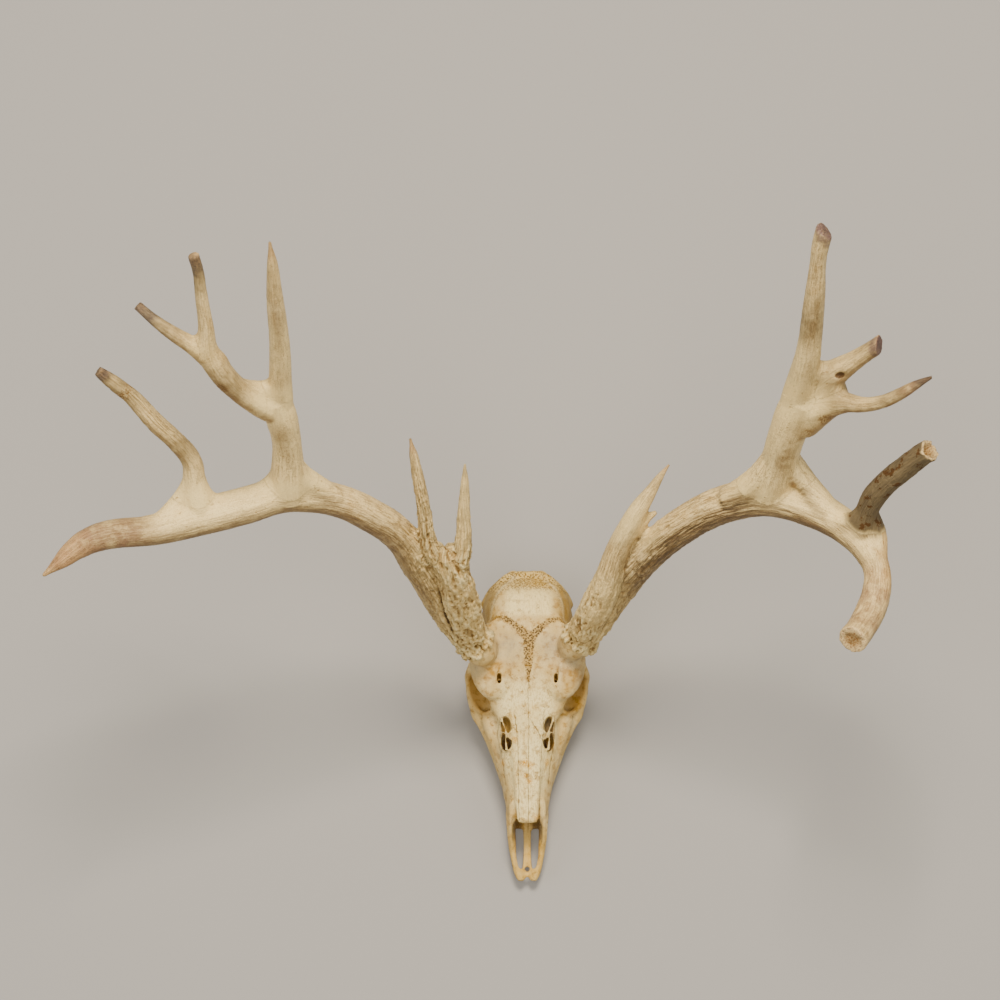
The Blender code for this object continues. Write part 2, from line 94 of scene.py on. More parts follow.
def joinAll(objects, name):
    pick(objects)
    if len(objects) > 1:
        bpy.ops.object.join()
    bpy.context.object.name = name
    return bpy.context.object


def applyModifier(obj, kind, **settings):
    pick([obj])
    modifier = obj.modifiers.new(kind.title(), kind)
    for key, value in settings.items():
        setattr(modifier, key, value)
    bpy.ops.object.modifier_apply(modifier=modifier.name)


def fuse(obj, voxelMm, smoothRounds):
    applyModifier(obj, "REMESH", mode="VOXEL", voxel_size=voxelMm * millimetre)
    if smoothRounds:
        applyModifier(obj, "SMOOTH", iterations=smoothRounds, factor=0.5)


def copyOf(obj):
    pick([obj])
    bpy.ops.object.duplicate()
    return bpy.context.object


def editAll(obj):
    pick([obj])
    bpy.ops.object.mode_set(mode="EDIT")
    bpy.ops.mesh.select_all(action="SELECT")


def bentTube(points, bevelSteps=5):  # a bezier curve with a radius at each point, made a mesh
    pickNothing()
    bpy.ops.curve.primitive_bezier_curve_add(location=(0, 0, 0))
    obj = bpy.context.object
    spline = obj.data.splines[0]
    spline.bezier_points.add(len(points) - 2)
    for knot, point in zip(spline.bezier_points, points):
        knot.co = inFrame(point)
        knot.radius = point[3] * millimetre
        knot.handle_left_type = "AUTO"
        knot.handle_right_type = "AUTO"
    spline.radius_interpolation = "CARDINAL"
    obj.data.dimensions = "3D"
    obj.data.resolution_u = 7
    obj.data.bevel_depth = 1.0
    obj.data.bevel_resolution = bevelSteps
    obj.data.use_fill_caps = True
    bpy.ops.object.convert(target="MESH")
    editAll(bpy.context.object)
    bpy.ops.mesh.remove_doubles(threshold=0.00001)
    bpy.ops.mesh.normals_make_consistent(inside=False)
    bpy.ops.object.mode_set(mode="OBJECT")
    return bpy.context.object


def breakOff(obj, point, outward):  # the part beyond a plane is gone and the end is flat
    editAll(obj)
    bpy.ops.mesh.bisect(plane_co=inFrame(point), plane_no=Vector(outward).normalized(), use_fill=True,
                        clear_outer=True, clear_inner=False)
    bpy.ops.object.mode_set(mode="OBJECT")


def egg(centre, radii, turn=None):  # a sphere drawn out to three radii and turned
    pickNothing()
    bpy.ops.mesh.primitive_uv_sphere_add(segments=28, ring_count=18, radius=millimetre, location=(0, 0, 0))
    obj = bpy.context.object
    there = Matrix.Translation(inFrame(centre))
    obj.matrix_world = there @ (turn or Matrix.Identity(4)) @ Matrix.Diagonal((*radii, 1))
    bpy.ops.object.transform_apply(location=True, rotation=True, scale=True)
    return obj


def rolledGrid(rings):  # a grid whose rows are laid on the given rings, rolled shut and capped
    pickNothing()
    sides = len(rings[0])
    bpy.ops.mesh.primitive_grid_add(x_subdivisions=sides, y_subdivisions=len(rings) - 1, size=1, location=(0, 0, 0))
    obj = bpy.context.object
    spots = []
    for ring in rings:
        spots += [inFrame(ring[k % sides]) for k in range(sides + 1)]
    obj.data.vertices.foreach_set("co", np.array(spots, dtype=np.float32).ravel())
    editAll(obj)
    bpy.ops.mesh.remove_doubles(threshold=0.000001)
    bpy.ops.mesh.fill_holes(sides=0)
    bpy.ops.mesh.select_all(action="SELECT")
    bpy.ops.mesh.normals_make_consistent(inside=False)
    bpy.ops.object.mode_set(mode="OBJECT")
    return obj


def catmull(p0, p1, p2, p3, t):
    return 0.5 * (2 * p1 + (p2 - p0) * t + (2 * p0 - 5 * p1 + 4 * p2 - p3) * t ** 2
                  + (3 * p1 - p0 - 3 * p2 + p3) * t ** 3)


def between(stations, count=4):  # smooth cross-sections between the given ones
    knots = [np.array(s, dtype=float) for s in stations]
    knots = [2 * knots[0] - knots[1]] + knots + [2 * knots[-1] - knots[-2]]
    filled = []
    for i in range(1, len(knots) - 2):
        filled += [catmull(*knots[i - 1:i + 3], k / count) for k in range(count)]
    return filled + [knots[-2]]


def hull(stations, power=2.3, sides=36):  # stations: y, half width, top, bottom, height of the widest point
    rings = []
    for y, halfWidth, top, bottom, wide in between(stations):
        ring = []
        for k in range(sides):
            angle = 2 * math.pi * k / sides
            c, s = math.cos(angle), math.sin(angle)
            reach = (top - wide) if s > 0 else (wide - bottom)
            ring.append((halfWidth * math.copysign(abs(c) ** (2 / power), c), y,
                         wide + reach * math.copysign(abs(s) ** (2 / power), s)))
        rings.append(ring)
    return rolledGrid(rings)


def readPoints(obj):  # vertex places in millimetres from the middle of the skull
    flat = np.empty(len(obj.data.vertices) * 3, dtype=np.float32)
    obj.data.vertices.foreach_get("co", flat)
    return (flat.reshape(-1, 3).astype(np.float64) - np.array(middle)) / millimetre


def writePoints(obj, points, keepInBox=True):
    places = points * millimetre + np.array(middle)
    if keepInBox:
        places = np.clip(places, np.array(cadBox[0]) + 0.00005, np.array(cadBox[1]) - 0.00005)
    obj.data.vertices.foreach_set("co", places.astype(np.float32).ravel())
    obj.data.update()


def readNormals(obj):
    flat = np.empty(len(obj.data.vertices) * 3, dtype=np.float32)
    obj.data.vertices.foreach_get("normal", flat)
    return flat.reshape(-1, 3).astype(np.float64)


def storeMasks(obj, **masks):  # painted values that the materials read by name
    for name, values in masks.items():
        layer = obj.data.attributes.new(name, "FLOAT", "POINT")
        layer.data.foreach_set("value", np.asarray(values, dtype=np.float32))


def storeTriple(obj, name, columns):
    layer = obj.data.attributes.new(name, "FLOAT_VECTOR", "POINT")
    layer.data.foreach_set("vector", np.stack(columns, axis=1).astype(np.float32).ravel())


def fade(values, low, high):  # 0 below low and 1 above high, smooth between
    t = np.clip((values - low) / (high - low), 0, 1)
    return t * t * (3 - 2 * t)


def hollowness(obj, rounds):  # how far the surface lies below (+) or above (-) its smoothed self, in millimetres
    points, normals = readPoints(obj), readNormals(obj)
    smooth = copyOf(obj)
    applyModifier(smooth, "SMOOTH", iterations=rounds, factor=0.5)
    depth = ((readPoints(smooth) - points) * normals).sum(axis=1)
    bpy.data.objects.remove(smooth, do_unlink=True)
    return depth


def roundPatch(points, spots):  # 1 in the middle of each x, y, z, radius and 0 from its edge on
    patch = np.zeros(len(points))
    for *centre, radius in spots:
        away = np.linalg.norm(points - np.array(centre), axis=1)
        patch = np.maximum(patch, 1 - fade(away, 0, radius * 1.25))
    return patch


def noiseAt(coordinates):
    return np.array([noise.noise(Vector(p)) for p in coordinates])


def cellsAt(coordinates):  # distance to the nearest cell point
    return np.array([noise.voronoi(Vector(p))[0][0] for p in coordinates])


def bell(distance, width):  # 1 at no distance, falling off over the given width
    return np.exp(-(distance / width) ** 2)


# Antlers. Each branch: centre line of x, y, z and radius; depth of its grooves and of its knobs and crevices at the
# start and, from the given share of its length on, at the end; tip: length rubbed brown; breaks: broken ends
smoothBranch = {
    "grooves": (0.12, 0.08), "grooveEnd": 1.0, "knobs": (0.0, 0.0), "knobEnd": 1.0, "burr": False, "tip": 0,
    "breaks": []}
rightAntler = {
    "beam": {**smoothBranch, "route": [
        (-48, 56, 126, 17.2), (-61, 67, 144, 16.6), (-80, 84, 185, 15.8), (-100, 103, 240, 15.6),
        (-118, 119, 283, 15.4), (-141, 126, 316, 15.2), (-166, 131, 340, 14.8), (-194, 131, 358, 15),
        (-217, 128, 367, 15.7), (-247, 117, 374, 16.5), (-285, 105, 378, 16), (-328, 92, 382, 13.4),
        (-359, 87, 388, 12.9), (-376, 81, 392, 12), (-389, 72, 396, 10.3), (-402, 59, 400, 6.8),
        (-416, 45, 404, 1.6)],
        "grooves": (1.0, 0.1), "grooveEnd": 0.5, "knobs": (1.0, 0.06), "knobEnd": 0.12, "burr": True, "tip": 75},
    "browStem": {**smoothBranch, "route": [
        (-54, 62, 146, 15.6), (-62, 80, 200, 16.6), (-68, 96, 242, 14.8), (-73, 107, 262, 12)],
                 "grooves": (0.5, 0.4), "knobs": (1.0, 0.75)},
    "browLong": {**smoothBranch, "route": [
        (-74, 98, 250, 10.8), (-88, 111, 270, 8.1), (-93, 132, 302, 6.2), (-98, 155, 326, 5.3),
        (-102, 173, 342, 4), (-105, 186, 352, 1.2)],
        "grooves": (1.0, 0.45), "grooveEnd": 0.9, "knobs": (1.0, 0.2), "knobEnd": 0.75, "tip": 24},
    "browShort": {**smoothBranch, "route": [
        (-67, 95, 246, 10.8), (-60, 110, 266, 8.5), (-58, 134, 292, 5.8), (-57, 159, 314, 3.6),
        (-57, 171, 324, 1.2)],
        "grooves": (0.8, 0.25), "grooveEnd": 0.9, "knobs": (0.95, 0.1), "knobEnd": 0.7},
    "forkStem": {**smoothBranch, "route": [
        (-212, 128, 366, 16.6), (-210, 139, 385, 15.8), (-209, 150, 404, 13.8), (-209, 161, 428, 12.6),
        (-212, 172, 454, 13.8), (-216, 182, 474, 12.6)],
        "grooves": (0.3, 0.12), "grooveEnd": 0.8},
    "innerTine": {**smoothBranch, "route": [
        (-213, 178, 464, 12.2), (-210.5, 191, 494, 9.9), (-209, 210, 536, 8.7), (-210, 231, 590, 6.9),
        (-210, 247, 624, 4.4), (-211, 257, 644, 1.2)],
        "grooves": (0.15, 0.08), "tip": 30},
    "outerTine": {**smoothBranch, "route": [
        (-220, 176, 464, 12.8), (-232, 178, 478, 11.6), (-244, 181, 494, 10.2), (-258, 189, 518, 10.4),
        (-268, 201, 540, 9.2), (-268, 214, 562, 6.6), (-270, 232, 590, 5.3), (-271, 244, 610, 4.8),
        (-274, 253, 624, 4.8)],
        "tip": 14},
    "lowTine": {**smoothBranch, "route": [
        (-265, 196, 530, 9.4), (-280, 203, 546, 7.7), (-294, 209, 556, 6.3), (-310, 218, 566, 4.9),
        (-324, 229, 572, 4.1)],
        "tip": 12},
    "rearTine": {**smoothBranch, "route": [
        (-285, 109, 380, 15), (-287, 121, 393, 12.6), (-289, 132, 404, 10.1), (-290, 143, 416, 9),
        (-302, 155, 436, 8.5), (-320, 167, 458, 8.1), (-337, 182, 476, 7.2), (-354, 192, 490, 6.1),
        (-364, 198, 497, 4.4)],
        "grooves": (0.15, 0.3), "knobs": (0.0, 0.15), "tip": 14},
}
leftAntler = {
    "beam": {**smoothBranch, "route": [
        (48, 63, 126, 17.2), (61, 73, 146, 16.6), (83, 93, 192, 15.8), (102, 106, 236, 15.8),
        (120, 116, 270, 16.1), (139, 123, 298, 16.5), (159, 129, 320, 16.8), (181, 132, 338, 17.1),
        (202, 132, 350, 17.1), (222, 127, 358, 16.6), (243, 118, 364, 16.1), (263, 107, 368, 15.6),
        (281, 92, 370, 14.2), (293, 77, 370, 12.9), (300, 60, 368, 11.7), (299, 41, 368, 12.7),
        (292, 21, 374, 13.1), (283, 4, 384, 12.6), (274, -9, 394, 13)],
        "grooves": (0.9, 0.12), "grooveEnd": 0.72, "knobs": (1.0, 0.1), "knobEnd": 0.1, "burr": True},
    "brow": {**smoothBranch, "route": [
        (52, 65, 142, 14.9), (60, 74, 178, 14.9), (66, 82, 200, 14.6), (74, 97, 228, 12.6),
        (81, 113, 254, 10.7), (91, 128, 280, 9.9), (99, 139, 296, 8.3), (108, 150, 308, 5.8),
        (116, 160, 320, 3.5), (124, 169, 328, 1.2)],
        "grooves": (0.25, 0.1), "grooveEnd": 0.85, "knobs": (0.8, 0.0), "knobEnd": 0.72, "tip": 14},
    "browSpur": {**smoothBranch, "route": [(90, 122, 272, 8.2), (103, 132, 282, 5.8), (114, 137, 288, 2)],
                 "grooves": (0.2, 0.1), "knobs": (0.2, 0.1)},
    "forkStem": {**smoothBranch, "route": [
        (209, 131, 352, 18.4), (212, 141, 374, 18.2), (216, 152, 400, 16.4), (219, 161, 426, 16),
        (225, 174, 454, 17.2), (231, 183, 474, 16)],
        "grooves": (0.3, 0.12), "grooveEnd": 0.8},
    "uprightTine": {**smoothBranch, "route": [
        (227, 181, 466, 15.6), (229, 193, 496, 13), (231.5, 208, 530, 10.3), (232, 222, 558, 9.5),
        (232, 235, 590, 8.4), (232, 248, 616, 6.9), (233, 258, 634, 7.3), (236, 267, 650, 7.8)],
        "breaks": [((238, 262, 645), (0.75, 0.25, 0.62)), ((233, 264, 650), (-0.1, 0.3, 1.0))]},
    "middleTine": {**smoothBranch, "route": [
        (235, 183, 470, 14), (245, 190, 486, 13.3), (256, 195, 502, 11.6), (267, 199, 514, 9),
        (278, 203, 526, 7.5), (292, 208, 540, 7.6)],
        "grooves": (0.12, 0.12), "knobs": (0.0, 0.1), "tip": 6,
        "breaks": [((289, 206, 537), (1.0, -0.25, 0.45))]},
    "outerTine": {**smoothBranch, "route": [
        (231, 174, 458, 14), (246, 174, 474, 12.4), (264, 172, 490, 9), (277, 167, 500, 6.7),
        (291, 165, 512, 5.8), (306, 168, 524, 5.2), (319, 173, 534, 3.8), (331, 177, 542, 1.6)],
        "grooves": (0.12, 0.1), "knobs": (0.0, 0.05), "tip": 14},
    "darkTine": {**smoothBranch, "route": [
        (286, 92, 372, 13.6), (288, 99, 386, 11.6), (290, 105, 398, 10.1), (294, 112, 414, 10.3),
        (304, 120, 434, 10.4), (318, 127, 454, 10.2), (329, 132, 470, 9.9), (336, 134, 479, 9.9)],
        "grooves": (0.2, 0.3), "knobs": (0.05, 0.15)},
}
rightWebs = [  # bone that fills the forks
    [(-204, 148, 402, 8), (-193, 140, 378, 10), (-172, 131, 352, 11)],
    [(-213, 146, 400, 8), (-222, 136, 382, 9), (-240, 121, 375, 11)],
    [(-284, 130, 404, 5.5), (-276, 119, 388, 7), (-262, 113, 378, 10)],
    [(-294, 131, 406, 5), (-304, 117, 390, 7), (-320, 97, 383, 9)],
    [(-213, 190, 490, 7), (-225, 186, 486, 7.5), (-240, 184, 496, 7.5)],
    [(-270, 207, 549, 5), (-275, 205, 547, 5), (-284, 206, 553, 5)],
    [(-85, 107, 266, 7), (-74, 107, 262, 8), (-63, 105, 262, 7)],
    [(-256, 188, 514, 9), (-262, 196, 530, 9.6), (-272, 201, 542, 7.6)],
]
leftWebs = [
    [(207, 149, 398, 10), (195, 139, 374, 12), (174, 131, 346, 12)],
    [(227, 149, 398, 10), (241, 134, 384, 10), (258, 112, 374, 12)],
    [(284, 103, 396, 7), (277, 100, 384, 8), (264, 106, 374, 10)],
    [(295, 103, 394, 7), (301, 90, 380, 8), (302, 70, 371, 8)],
    [(236, 197, 504, 9), (244, 196, 502, 9), (254, 196, 504, 9)],
    [(232, 178, 462, 15), (246, 183, 480, 13), (262, 184, 496, 9)],
    [(232, 166, 446, 13), (243, 170, 464, 12), (256, 172, 482, 9)],
]
antlerMesh = {
    "filletVoxel": 2.6,  # coarse mesh that rounds the webs at the forks
    "filletRounds": 10,
    "voxel": 1.28,
    "smoothRounds": 2,
    "grooveDepth": 1.5,
    "grooveLength": 55.0,  # a groove wanders off its line over about this length
    "knobHeight": 1.6,
    "knobSpacing": 7.4,
    "pitDepth": 1.5,
    "cleftDepth": 2.6,
    "burrFlare": 3.4,
    "burrHeight": 6.0,
    "mottleSize": 30.0,
    "girth": 12.0,  # the grain runs round every branch as if it had this radius
    "hiddenRoot": 19.0,  # length of a branch that lies inside the one that it grows from
    "forkBlend": 9.0,
    "blockSize": 20000,  # points measured at a time, to spare memory
    "hole": ((258, 188, 512), (4.6, 2.6, 6), 4.4),  # small deep hole by the left middle tine: place, radii, depth
}
antlerPatches = {  # strength of the painted shade on the underside and of the cleft by the brow tines, and spots of x, y, z, radius
    "right": {
        "under": 0.5,
        "cleft": 1.0,
        # Pale smooth bone, and on the fork stems a painted highlight where the light falls
        "pale": [(-285, 112, 384, 62), (-208, 132, 372, 46), (-240, 120, 374, 56), (-60, 76, 190, 46),
                 (-52, 62, 146, 32), (-210, 160, 424, 52), (-212, 182, 474, 50), (-210, 206, 530, 46),
                 (-62, 140, 296, 50)],
        "ash": [(-304, 214, 562, 30), (-256, 186, 512, 34), (-350, 190, 488, 30), (-388, 72, 396, 50),
                (-348, 88, 387, 34), (-300, 152, 434, 20), (-272, 240, 604, 16)],
        "stain": [(-343, 185, 481, 11), (-334, 178, 474, 7), (-352, 191, 489, 6), (-258, 180, 512, 9)],
        "rosy": [(-380, 78, 393, 34), (-402, 60, 400, 26), (-350, 84, 387, 26)],
        "soot": [(-273, 248, 617, 15), (-318, 224, 570, 18), (-360, 196, 494, 12)],
    },
    "left": {
        "under": 1.0,
        "cleft": 0.45,
        "pale": [(225, 132, 368, 64), (262, 112, 374, 50), (284, 86, 372, 36), (232, 176, 462, 44), (220, 158, 424, 50),
                 (66, 84, 204, 50), (52, 66, 146, 36), (92, 130, 284, 40), (230, 200, 512, 44)],
        "ash": [(250, 184, 492, 44), (286, 204, 532, 26), (304, 168, 520, 30), (240, 170, 462, 22),
                (230, 220, 556, 26)],
        "stain": [(250, 166, 474, 13), (236, 162, 456, 10), (262, 168, 487, 8), (300, 196, 538, 6)],
        "rosy": [(296, 32, 372, 26), (284, 6, 384, 24), (300, 56, 370, 16), (320, 173, 534, 22)],
        "soot": [(326, 175, 539, 14), (294, 208, 541, 11)],
    },
}


def centreLine(route, step=2.5):  # points, radii, direction and a steady side direction along a branch
    knots = [np.array(p, dtype=float) for p in route]
    knots = [2 * knots[0] - knots[1]] + knots + [2 * knots[-1] - knots[-2]]
    samples = []
    for i in range(1, len(knots) - 2):
        count = max(1, round(np.linalg.norm(knots[i + 1][:3] - knots[i][:3]) / step))
        samples += [catmull(*knots[i - 1:i + 3], k / count) for k in range(count)]
    samples = np.array(samples + [knots[-2]])
    points = samples[:, :3]
    along = np.gradient(points, axis=0)
    along /= np.linalg.norm(along, axis=1)[:, None]
    run = np.concatenate(([0], np.cumsum(np.linalg.norm(np.diff(points, axis=0), axis=1))))
    side = np.cross((0, 0, 1), along[0])
    sides = []
    for direction in along:
        side = side - direction * side.dot(direction)
        side = side / np.linalg.norm(side)
        sides.append(side)
    return points, samples[:, 3], along, np.array(sides), run


def nearestOnBranches(points, branches):  # where each point lies on its nearest branch and beside the others
    best = np.full(len(points), 1e9)
    found = {key: np.zeros(len(points)) for key in ("branch", "run", "cos", "sin", "radius", "fromEnd", "reach")}
    found["along"] = np.zeros((len(points), 3))
    gaps = np.zeros((len(points), len(branches)))
    shares = np.zeros((len(points), len(branches)))
    for index, branch in enumerate(branches.values()):
        line, radii, along, sides, run = centreLine(branch["route"])
        skip = 0 if index == 0 else int(np.searchsorted(run, antlerMesh["hiddenRoot"]))
        for start in range(0, len(points), antlerMesh["blockSize"]):
            block = points[start:start + antlerMesh["blockSize"]]
            rows = slice(start, start + len(block))
            gap = np.linalg.norm(block[:, None] - line[None, skip:], axis=2) - radii[None, skip:]
            spot = np.argmin(gap, axis=1)
            away = gap[np.arange(len(block)), spot]
            spot += skip
            offset = block - line[spot]
            runHere = run[spot] + (offset * along[spot]).sum(axis=1)
            gaps[rows, index] = away
            shares[rows, index] = np.clip(runHere / run[-1], 0, 1)
            across = (offset * sides[spot]).sum(axis=1)
            rise = (offset * np.cross(along[spot], sides[spot])).sum(axis=1)
            reach = np.maximum(np.hypot(across, rise), 1e-6)
            closer = np.nonzero(away < best[rows])[0]
            mine = closer + start
            best[mine] = away[closer]
            found["branch"][mine] = index
            here = {"run": runHere, "fromEnd": run[-1] - runHere, "cos": across / reach, "sin": rise / reach,
                    "radius": radii[spot], "reach": reach, "along": along[spot]}
            for key, values in here.items():
                found[key][mine] = values[closer]
    weights = np.exp(-(gaps - gaps.min(axis=1)[:, None]) / antlerMesh["forkBlend"])
    found["weights"] = weights / weights.sum(axis=1)[:, None]
    found["joint"] = np.zeros(len(points))  # near the root of any branch but the beam
    for index, branch in list(enumerate(branches.values()))[1:]:
        length = centreLine(branch["route"])[4][-1]
        found["joint"] += found["weights"][:, index] * (1 - fade(shares[:, index] * length, 14, 40))
    found["shares"] = shares
    found["gaps"] = gaps
    return found


def perBranch(branches, found, key, endKey=None):  # a value that fades along each branch and from branch to branch
    values = np.zeros(len(found["run"]))
    for index, branch in enumerate(branches.values()):
        if endKey:
            start, end = branch[key]
            value = start + (end - start) * fade(found["shares"][:, index], 0, branch[endKey])
        else:
            value = branch[key]
        values += found["weights"][:, index] * value
    return values


def growAntler(name, branches, webs, patches, hollowEnds, nodes):
    stems = []
    for branch in branches.values():
        stem = bentTube(branch["route"], 7)
        for point, outward in branch["breaks"]:
            breakOff(stem, point, outward)
        stems.append(stem)
    plain = joinAll(stems, name)
    webbed = joinAll([copyOf(plain)] + [bentTube(web) for web in webs], name + "_webs")
    fuse(webbed, antlerMesh["filletVoxel"], antlerMesh["filletRounds"])
    antler = joinAll([plain, webbed], name)
    fuse(antler, antlerMesh["voxel"], antlerMesh["smoothRounds"])
    carveAntler(antler, branches, patches, hollowEnds)
    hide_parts(*nodes)
    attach(antler, "root")
    print(name, "grown,", len(antler.data.polygons), "faces")
    return antler


def carveAntler(antler, branches, patches, hollowEnds):
    points = readPoints(antler)
    normals = readNormals(antler)
    found = nearestOnBranches(points, branches)
    names = list(branches)
    nothing = np.zeros(len(points))
    grooves = perBranch(branches, found, "grooves", "grooveEnd")
    knobs = perBranch(branches, found, "knobs", "knobEnd")
    run = found["run"]
    girth = antlerMesh["girth"]
    grain = np.stack([found["cos"] * girth, found["sin"] * girth, run + 40 * (found["branch"] * 7.3)], axis=1)

    # Lengthwise grooves of two widths, and knobs and crevices drawn out along the grain
    wander = grain * np.array((1, 1, girth / antlerMesh["grooveLength"]))
    broad = np.abs(noiseAt(wander / 5.0))
    narrow = np.abs(noiseAt(wander / 2.9 + 9.0))
    depth = 0.35 + 0.65 * fade(noiseAt(wander / 14.0 + 4.0), -0.25, 0.3)
    grooveCut = (bell(broad, 0.075) + 0.8 * bell(narrow, 0.1)) * depth
    swell = noiseAt(grain * np.array((1, 1, 0.35)) / 13.0 + 11.0)
    plate = grain * np.array((1, 1, 0.26)) + 1.8 * noiseAt(points / 5.0)[:, None]
    crag = (1.3 * (0.24 - np.abs(noiseAt(plate / antlerMesh["knobSpacing"])))
            + 1.3 * (0.2 - np.abs(noiseAt(plate / 4.2 + 20)))
            + 0.45 * noiseAt(plate / 1.8 + 30)) * 2.3
    pit = bell(cellsAt(points / 4.4 + 3.0), 0.24) * (noiseAt(points / 8.0 + 5.0) > -0.05)
    nearBurr = bell(np.maximum(run, 0), antlerMesh["burrHeight"]) * perBranch(branches, found, "burr")
    cleft = bell(found["gaps"][:, 0] - found["gaps"][:, 1], 1.7) * fade(run, 14, 30)
    cleft *= (found["branch"] < 2) * (1 - fade(found["shares"][:, 0], 0.16, 0.24)) * patches["cleft"]
    lobes = 0.62 + 0.4 * noiseAt(points / 4.2 + 2.0) + 0.3 * crag
    rugged = knobs * (0.7 + 0.4 * fade(noiseAt(points / antlerMesh["mottleSize"]), -0.2, 0.3))
    height = (0.6 * swell * (0.3 + grooves)
              + 0.45 * grooves * fade(run, 20, 60) * (1 - fade(run, 120, 260)) * crag
              - antlerMesh["grooveDepth"] * grooves * grooveCut * 0.7
              + antlerMesh["knobHeight"] * rugged * crag * 0.75
              - antlerMesh["pitDepth"] * rugged * pit
              - antlerMesh["cleftDepth"] * cleft * (1 + crag)
              + 0.14 * noiseAt(points / 2.4)
              + nearBurr * antlerMesh["burrFlare"] * lobes)
    moved = points + normals * (height * fade(found["radius"], 1.0, 5.5))[:, None]

    # Broken ends: open ones with a spongy core, flat ones with dirt round them, and one small deep hole
    endFace, scar, marrow, hole = nothing, nothing, nothing, nothing
    for label, hollow in hollowEnds:
        facing = fade((normals * found["along"]).sum(axis=1), 0.2, 0.7)
        cap = (found["branch"] == names.index(label)) & (found["fromEnd"] < 3.0)
        core = (1 - fade(found["reach"] / found["radius"], 0.35, 0.8)) * cap * facing
        ragged = fade(noiseAt(points / 4.5 + 8.0), -0.3, 0.5) * cap
        moved -= found["along"] * (hollow * core + (0.28 * hollow + 0.4) * ragged)[:, None]
        endFace = np.maximum(endFace, cap * facing)
        marrow = np.maximum(marrow, core)
    for index, branch in enumerate(branches.values()):
        for point, outward in branch["breaks"]:
            direction = np.array(Vector(outward).normalized())
            flat = (np.abs((points - np.array(point)) @ direction) < 1.6) & (normals @ direction > 0.75)
            away = np.linalg.norm(points - np.array(point), axis=1) + 6 * noiseAt(points / 5.0)
            dirty = np.where(flat, 1.0, 0.8 * (1 - fade(away, 5, 13)))
            scar = np.where(found["branch"] == index, np.maximum(scar, dirty), scar)
    if "middleTine" in names:
        centre, radii, depth = antlerMesh["hole"]
        hole = np.exp(-(((points - np.array(centre)) / np.array(radii)) ** 2).sum(axis=1) * 1.3)
        moved -= normals * (depth * hole)[:, None]
    writePoints(antler, moved)

    # Masks for the material
    tipLength = np.array([branch["tip"] for branch in branches.values()])[found["branch"].astype(int)]
    # Painted shade: faces turned away from the top of the picture, where the light comes from, get a darker colour
    viewUp = normals @ np.array((0.0, 0.956, 0.292))  # how far a face looks towards the top of the picture
    under = fade(-viewUp, 0.05, 0.6) * fade(run, 70, 120) * found["weights"][:, 0] * fade(found["fromEnd"], 60, 110)
    storeTriple(antler, "grain", [grain[:, 0], grain[:, 1], grain[:, 2]])
    storeMasks(
        antler,
        grooveMask=np.clip(grooveCut * grooves, 0, 1.5),
        gnarl=np.clip(knobs + nearBurr, 0, 1),
        pit=np.clip((pit + fade(-crag, 0.3, 1.0)) * np.clip(rugged + 0.6 * nearBurr, 0, 1), 0, 1),
        crown=np.clip(fade(crag, 0.1, 0.7) * (rugged + nearBurr), 0, 1),
        rough=np.clip(grooves, 0, 1),
        joint=found["joint"] * (1 - np.clip(1.4 * knobs, 0, 1)),
        # Painted shade: dark colour in the cleft by the brow tines and in the small deep hole
        cleft=np.maximum(cleft * np.clip(0.7 - crag, 0.3, 1), 1.2 * fade(hole, 0.2, 0.5)),
        tip=np.where(tipLength > 0, 1 - fade(found["fromEnd"], 0, np.maximum(tipLength, 1)), 0),
        soot=roundPatch(points + 4 * noiseAt(points / 6.0)[:, None], patches["soot"]),
        under=under * patches["under"],
        # Painted shade: a dark edge on faces that look down, away from the light
        lowEdge=fade(-viewUp, 0.55, 0.95) * (1 - 0.5 * knobs),
        scar=scar, endFace=endFace, marrow=marrow,
        **{name: roundPatch(points, patches[name]) for name in ("pale", "ash", "stain", "rosy")})
    depth = hollowness(antler, 12)
    uneven = np.clip(grooves + knobs, 0, 1)
    storeMasks(
        antler,
        # Painted shade: darker where the surface lies below its smoothed self
        hollow=fade(depth, 0.08, 0.7) * (0.1 + 0.9 * uneven),
        worn=fade(-depth, 0.1, 0.8) * (0.2 + 0.8 * uneven) * (1 - 0.7 * np.clip(nearBurr, 0, 1)))
    weathered, strip = nothing, nothing
    if "darkTine" in names:  # grey-brown old bone, and the strip beside its foot where the surface has peeled
        edge = run + 9 * noiseAt(points / 7.0)
        weathered = fade(found["weights"][:, names.index("darkTine")], 0.3, 0.7) * fade(edge, 5, 16)
        outer = normals @ np.array((0.9, 0.1, 0.3)) + 0.15 * noiseAt(points / 6.0)
        strip = fade(outer, 0.42, 0.5) * (found["branch"] == 0)
        strip = strip * fade(points[:, 0], 284, 292) * (1 - fade(-points[:, 1], -52, -30))
    storeMasks(antler, weathered=weathered, peeled=strip)


rightAntlerObject = growAntler("right_antler", rightAntler, rightWebs, antlerPatches["right"], [], [
    "right_antler_beam", "right_antler_brow_tines", "right_antler_fork_stem", "right_antler_fork_inner_tine",
    "right_antler_fork_outer_tine", "right_antler_fork_low_tine", "right_antler_rear_tine"])
leftEnds = [("darkTine", 7.0), ("beam", 1.2)]  # open ends and how deep their cores lie
leftAntlerObject = growAntler("left_antler", leftAntler, leftWebs, antlerPatches["left"], leftEnds, [
    "left_antler_beam", "left_antler_beam_end", "left_antler_brow_tine", "left_antler_fork_stem",
    "left_antler_fork_upright_tine", "left_antler_fork_middle_tine", "left_antler_fork_outer_tine",
    "left_antler_dark_tine"])


